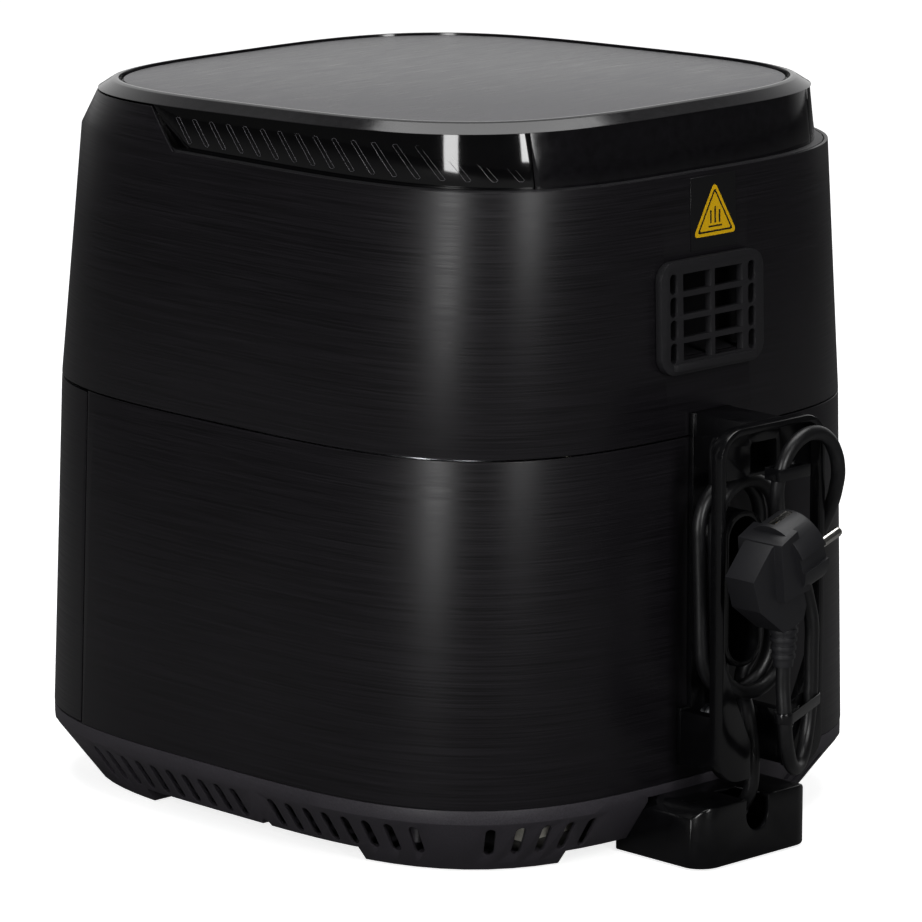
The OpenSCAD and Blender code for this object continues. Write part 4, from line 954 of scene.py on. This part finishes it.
# ---- studio ----
@dataclass
class Studio:
    """The camera, a pale floor and soft lights, in metres."""

    eye: tuple[float, float, float] = (2.0971, 2.1551, 0.8238)
    right: tuple[float, float, float] = (-0.71674, 0.69734, 0.00034)
    up: tuple[float, float, float] = (-0.14904, -0.15366, 0.97682)
    ahead: tuple[float, float, float] = (-0.68123, -0.70007, -0.21407)
    lens: float = 241.9
    shift: tuple[float, float] = (0.0168, -0.0078)
    box_turns: tuple[float, float] = (17.0, 72.0)
    box_power: float = 34.0

    def camera(self) -> None:
        """Sets up the camera."""
        data = bpy.data.cameras.new("camera")
        data.lens, data.sensor_width = self.lens, 36.0
        data.shift_x, data.shift_y = self.shift
        data.clip_end = 60.0
        camera = bpy.data.objects.new("camera", data)
        bpy.context.scene.collection.objects.link(camera)
        turn = Matrix([self.right, self.up, [-v for v in self.ahead]]).transposed()
        camera.matrix_world = Matrix.Translation(self.eye) @ turn.to_4x4()
        bpy.context.scene.camera = camera

    def light(self, name: str, place: Sequence[float], size: tuple[float, float], power: float,
              target: Sequence[float] = (0, 0, 0.2)) -> None:
        """Adds one soft box that faces a target.

        Args:
            name: The light's name.
            place: Where it stands.
            size: Its width and height.
            power: Its power in watts.
            target: What it points at.
        """
        data = bpy.data.lights.new(name, "AREA")
        data.shape = "RECTANGLE"
        data.size, data.size_y = size
        data.energy = power
        lamp = bpy.data.objects.new(name, data)
        lamp.location = place
        lamp.rotation_euler = (Vector(target) - Vector(place)).to_track_quat("-Z", "Y").to_euler()
        bpy.context.scene.collection.objects.link(lamp)

    def lights(self) -> None:
        """Two tall soft boxes beside the camera and a soft one overhead."""
        for i, turn in enumerate(self.box_turns):
            angle = math.radians(turn)
            place = (3.0 * math.cos(angle), 3.0 * math.sin(angle), 0.95 + 0.4 * i)
            self.light(f"tall_box_{i}", place, (0.5, 1.9 - 0.2 * i), self.box_power, (0, 0, 0.6))
        self.light("overhead", (-0.2, -0.2, 2.6), (2.2, 2.2), 46.0)

    def world(self) -> None:
        """Pale around the camera's view, dim for reflections, and brighter behind the object."""
        world = bpy.data.worlds.new("studio")
        bpy.context.scene.world = world
        world.use_nodes = True
        tree = world.node_tree
        tree.nodes.clear()
        way = add_node(tree, "ShaderNodeTexCoord").outputs["Generated"]
        side = add_node(tree, "ShaderNodeVectorMath", {"operation": "DOT_PRODUCT", 1: (-0.697, -0.717, 0.0)},
                        {0: way})
        glow = add_node(tree, "ShaderNodeMapRange", {"interpolation_type": "SMOOTHSTEP", "From Min": 0.45,
                                                     "From Max": 0.98, "To Min": 0.05, "To Max": 1.0},
                        {"Value": side.outputs["Value"]})
        dim = add_node(tree, "ShaderNodeBackground", links={"Strength": glow.outputs[0]})
        pale = add_node(tree, "ShaderNodeBackground", {"Color": linear("#f6f6f6"), "Strength": 1.0})
        seen = add_node(tree, "ShaderNodeLightPath").outputs["Is Camera Ray"]
        mix = add_node(tree, "ShaderNodeMixShader", links={0: seen, 1: dim.outputs[0], 2: pale.outputs[0]})
        add_node(tree, "ShaderNodeOutputWorld", links={0: mix.outputs[0]})
        bpy.context.scene.view_settings.view_transform = "Standard"

    def floor(self) -> None:
        """A pale floor that takes a soft contact shadow."""
        deselect()
        bpy.ops.mesh.primitive_grid_add(x_subdivisions=8, y_subdivisions=8, size=24)
        ground = bpy.context.object
        ground.name = "floor"
        material = bpy.data.materials.new("pale_studio_vinyl")
        material.use_nodes = True
        tree = material.node_tree
        tree.nodes.clear()
        at = add_node(tree, "ShaderNodeTexCoord").outputs["Object"]
        tooth = add_node(tree, "ShaderNodeTexNoise", {"Scale": 3.0, "Detail": 2.0}, {"Vector": at})
        tint = add_node(tree, "ShaderNodeMapRange", {"To Min": 0.8, "To Max": 0.84},
                        {"Value": tooth.outputs[0]})
        lit = add_node(tree, "ShaderNodeBsdfDiffuse", links={"Color": tint.outputs[0]})
        lift = add_node(tree, "ShaderNodeEmission", {"Color": (1, 1, 1, 1), "Strength": 0.8})
        pale = add_node(tree, "ShaderNodeAddShader", links={0: lit.outputs[0], 1: lift.outputs[0]})
        quiet = add_node(tree, "ShaderNodeBsdfDiffuse", {"Color": (0.16, 0.16, 0.16, 1)})
        seen = add_node(tree, "ShaderNodeLightPath").outputs["Is Camera Ray"]
        mix = add_node(tree, "ShaderNodeMixShader", links={0: seen, 1: quiet.outputs[0], 2: pale.outputs[0]})
        add_node(tree, "ShaderNodeOutputMaterial", links={0: mix.outputs[0]})
        ground.data.materials.append(material)


@dataclass
class Fittings:
    """The parts that keep their CAD shape, softened: node, finish or None, and edge width."""

    parts: tuple = (
        ("base_tray", BASE, 0.45), ("foot_pads", RUBBER, 0.5), ("exhaust_grille", DARK, 0.45),
        ("cord_bracket", BRACKET, 0.5), ("bracket_rim", BRACKET, 0.7), ("bracket_cheeks", BRACKET, 0.4),
        ("bracket_screws", None, 0.3), ("cord_outlet_block", BRACKET, 0.9), ("cord_gland", RUBBER, 0.4),
        ("handle_bar", DARK, 0.8), ("handle_trim", None, 0.3), ("pan", None, 0.3),
        ("crisper_plate", None, 0.2), ("crisper_bumpers", None, 0.3), ("drawer_inner", None, 0.4),
        ("exhaust_duct", None, 0.3), ("roof_tray", None, 0.3), ("middle_frame", None, 0.3),
        ("chamber_liner", None, 0.3), ("heat_shield", None, 0.3), ("reflector", None, 0.3),
        ("heating_element", None, 0.0), ("heater_guard", None, 0.0), ("pan_bracket", None, 0.4),
        ("drawer_runners", None, 0.4), ("base_screws", None, 0.3), ("pan_screws", None, 0.3))

    def build(self) -> None:
        """Softens the visible nodes and gives all the others their finish."""
        for node, finish, width in self.parts:
            refined(node, finish, width)
        for node, thing in frame["nodes"].items():
            if not thing.hide_render:
                thing.data.materials.clear()
                thing.data.materials.append(BY_SLOT[SLOT_OF[node]].material())


def main() -> None:
    """Builds the scene in order."""
    logging.basicConfig(level=logging.INFO, format="%(name)s: %(message)s")
    studio = Studio()
    studio.camera()
    cord = MainsCord().build()
    on_cord = PlugAndTies().build()
    housing = Housing()
    housing.build()
    RearLabel(housing).build()
    Display(housing).build()
    Fittings().build()
    studio.lights()
    studio.world()
    studio.floor()


if __name__ == "__main__":
    main()
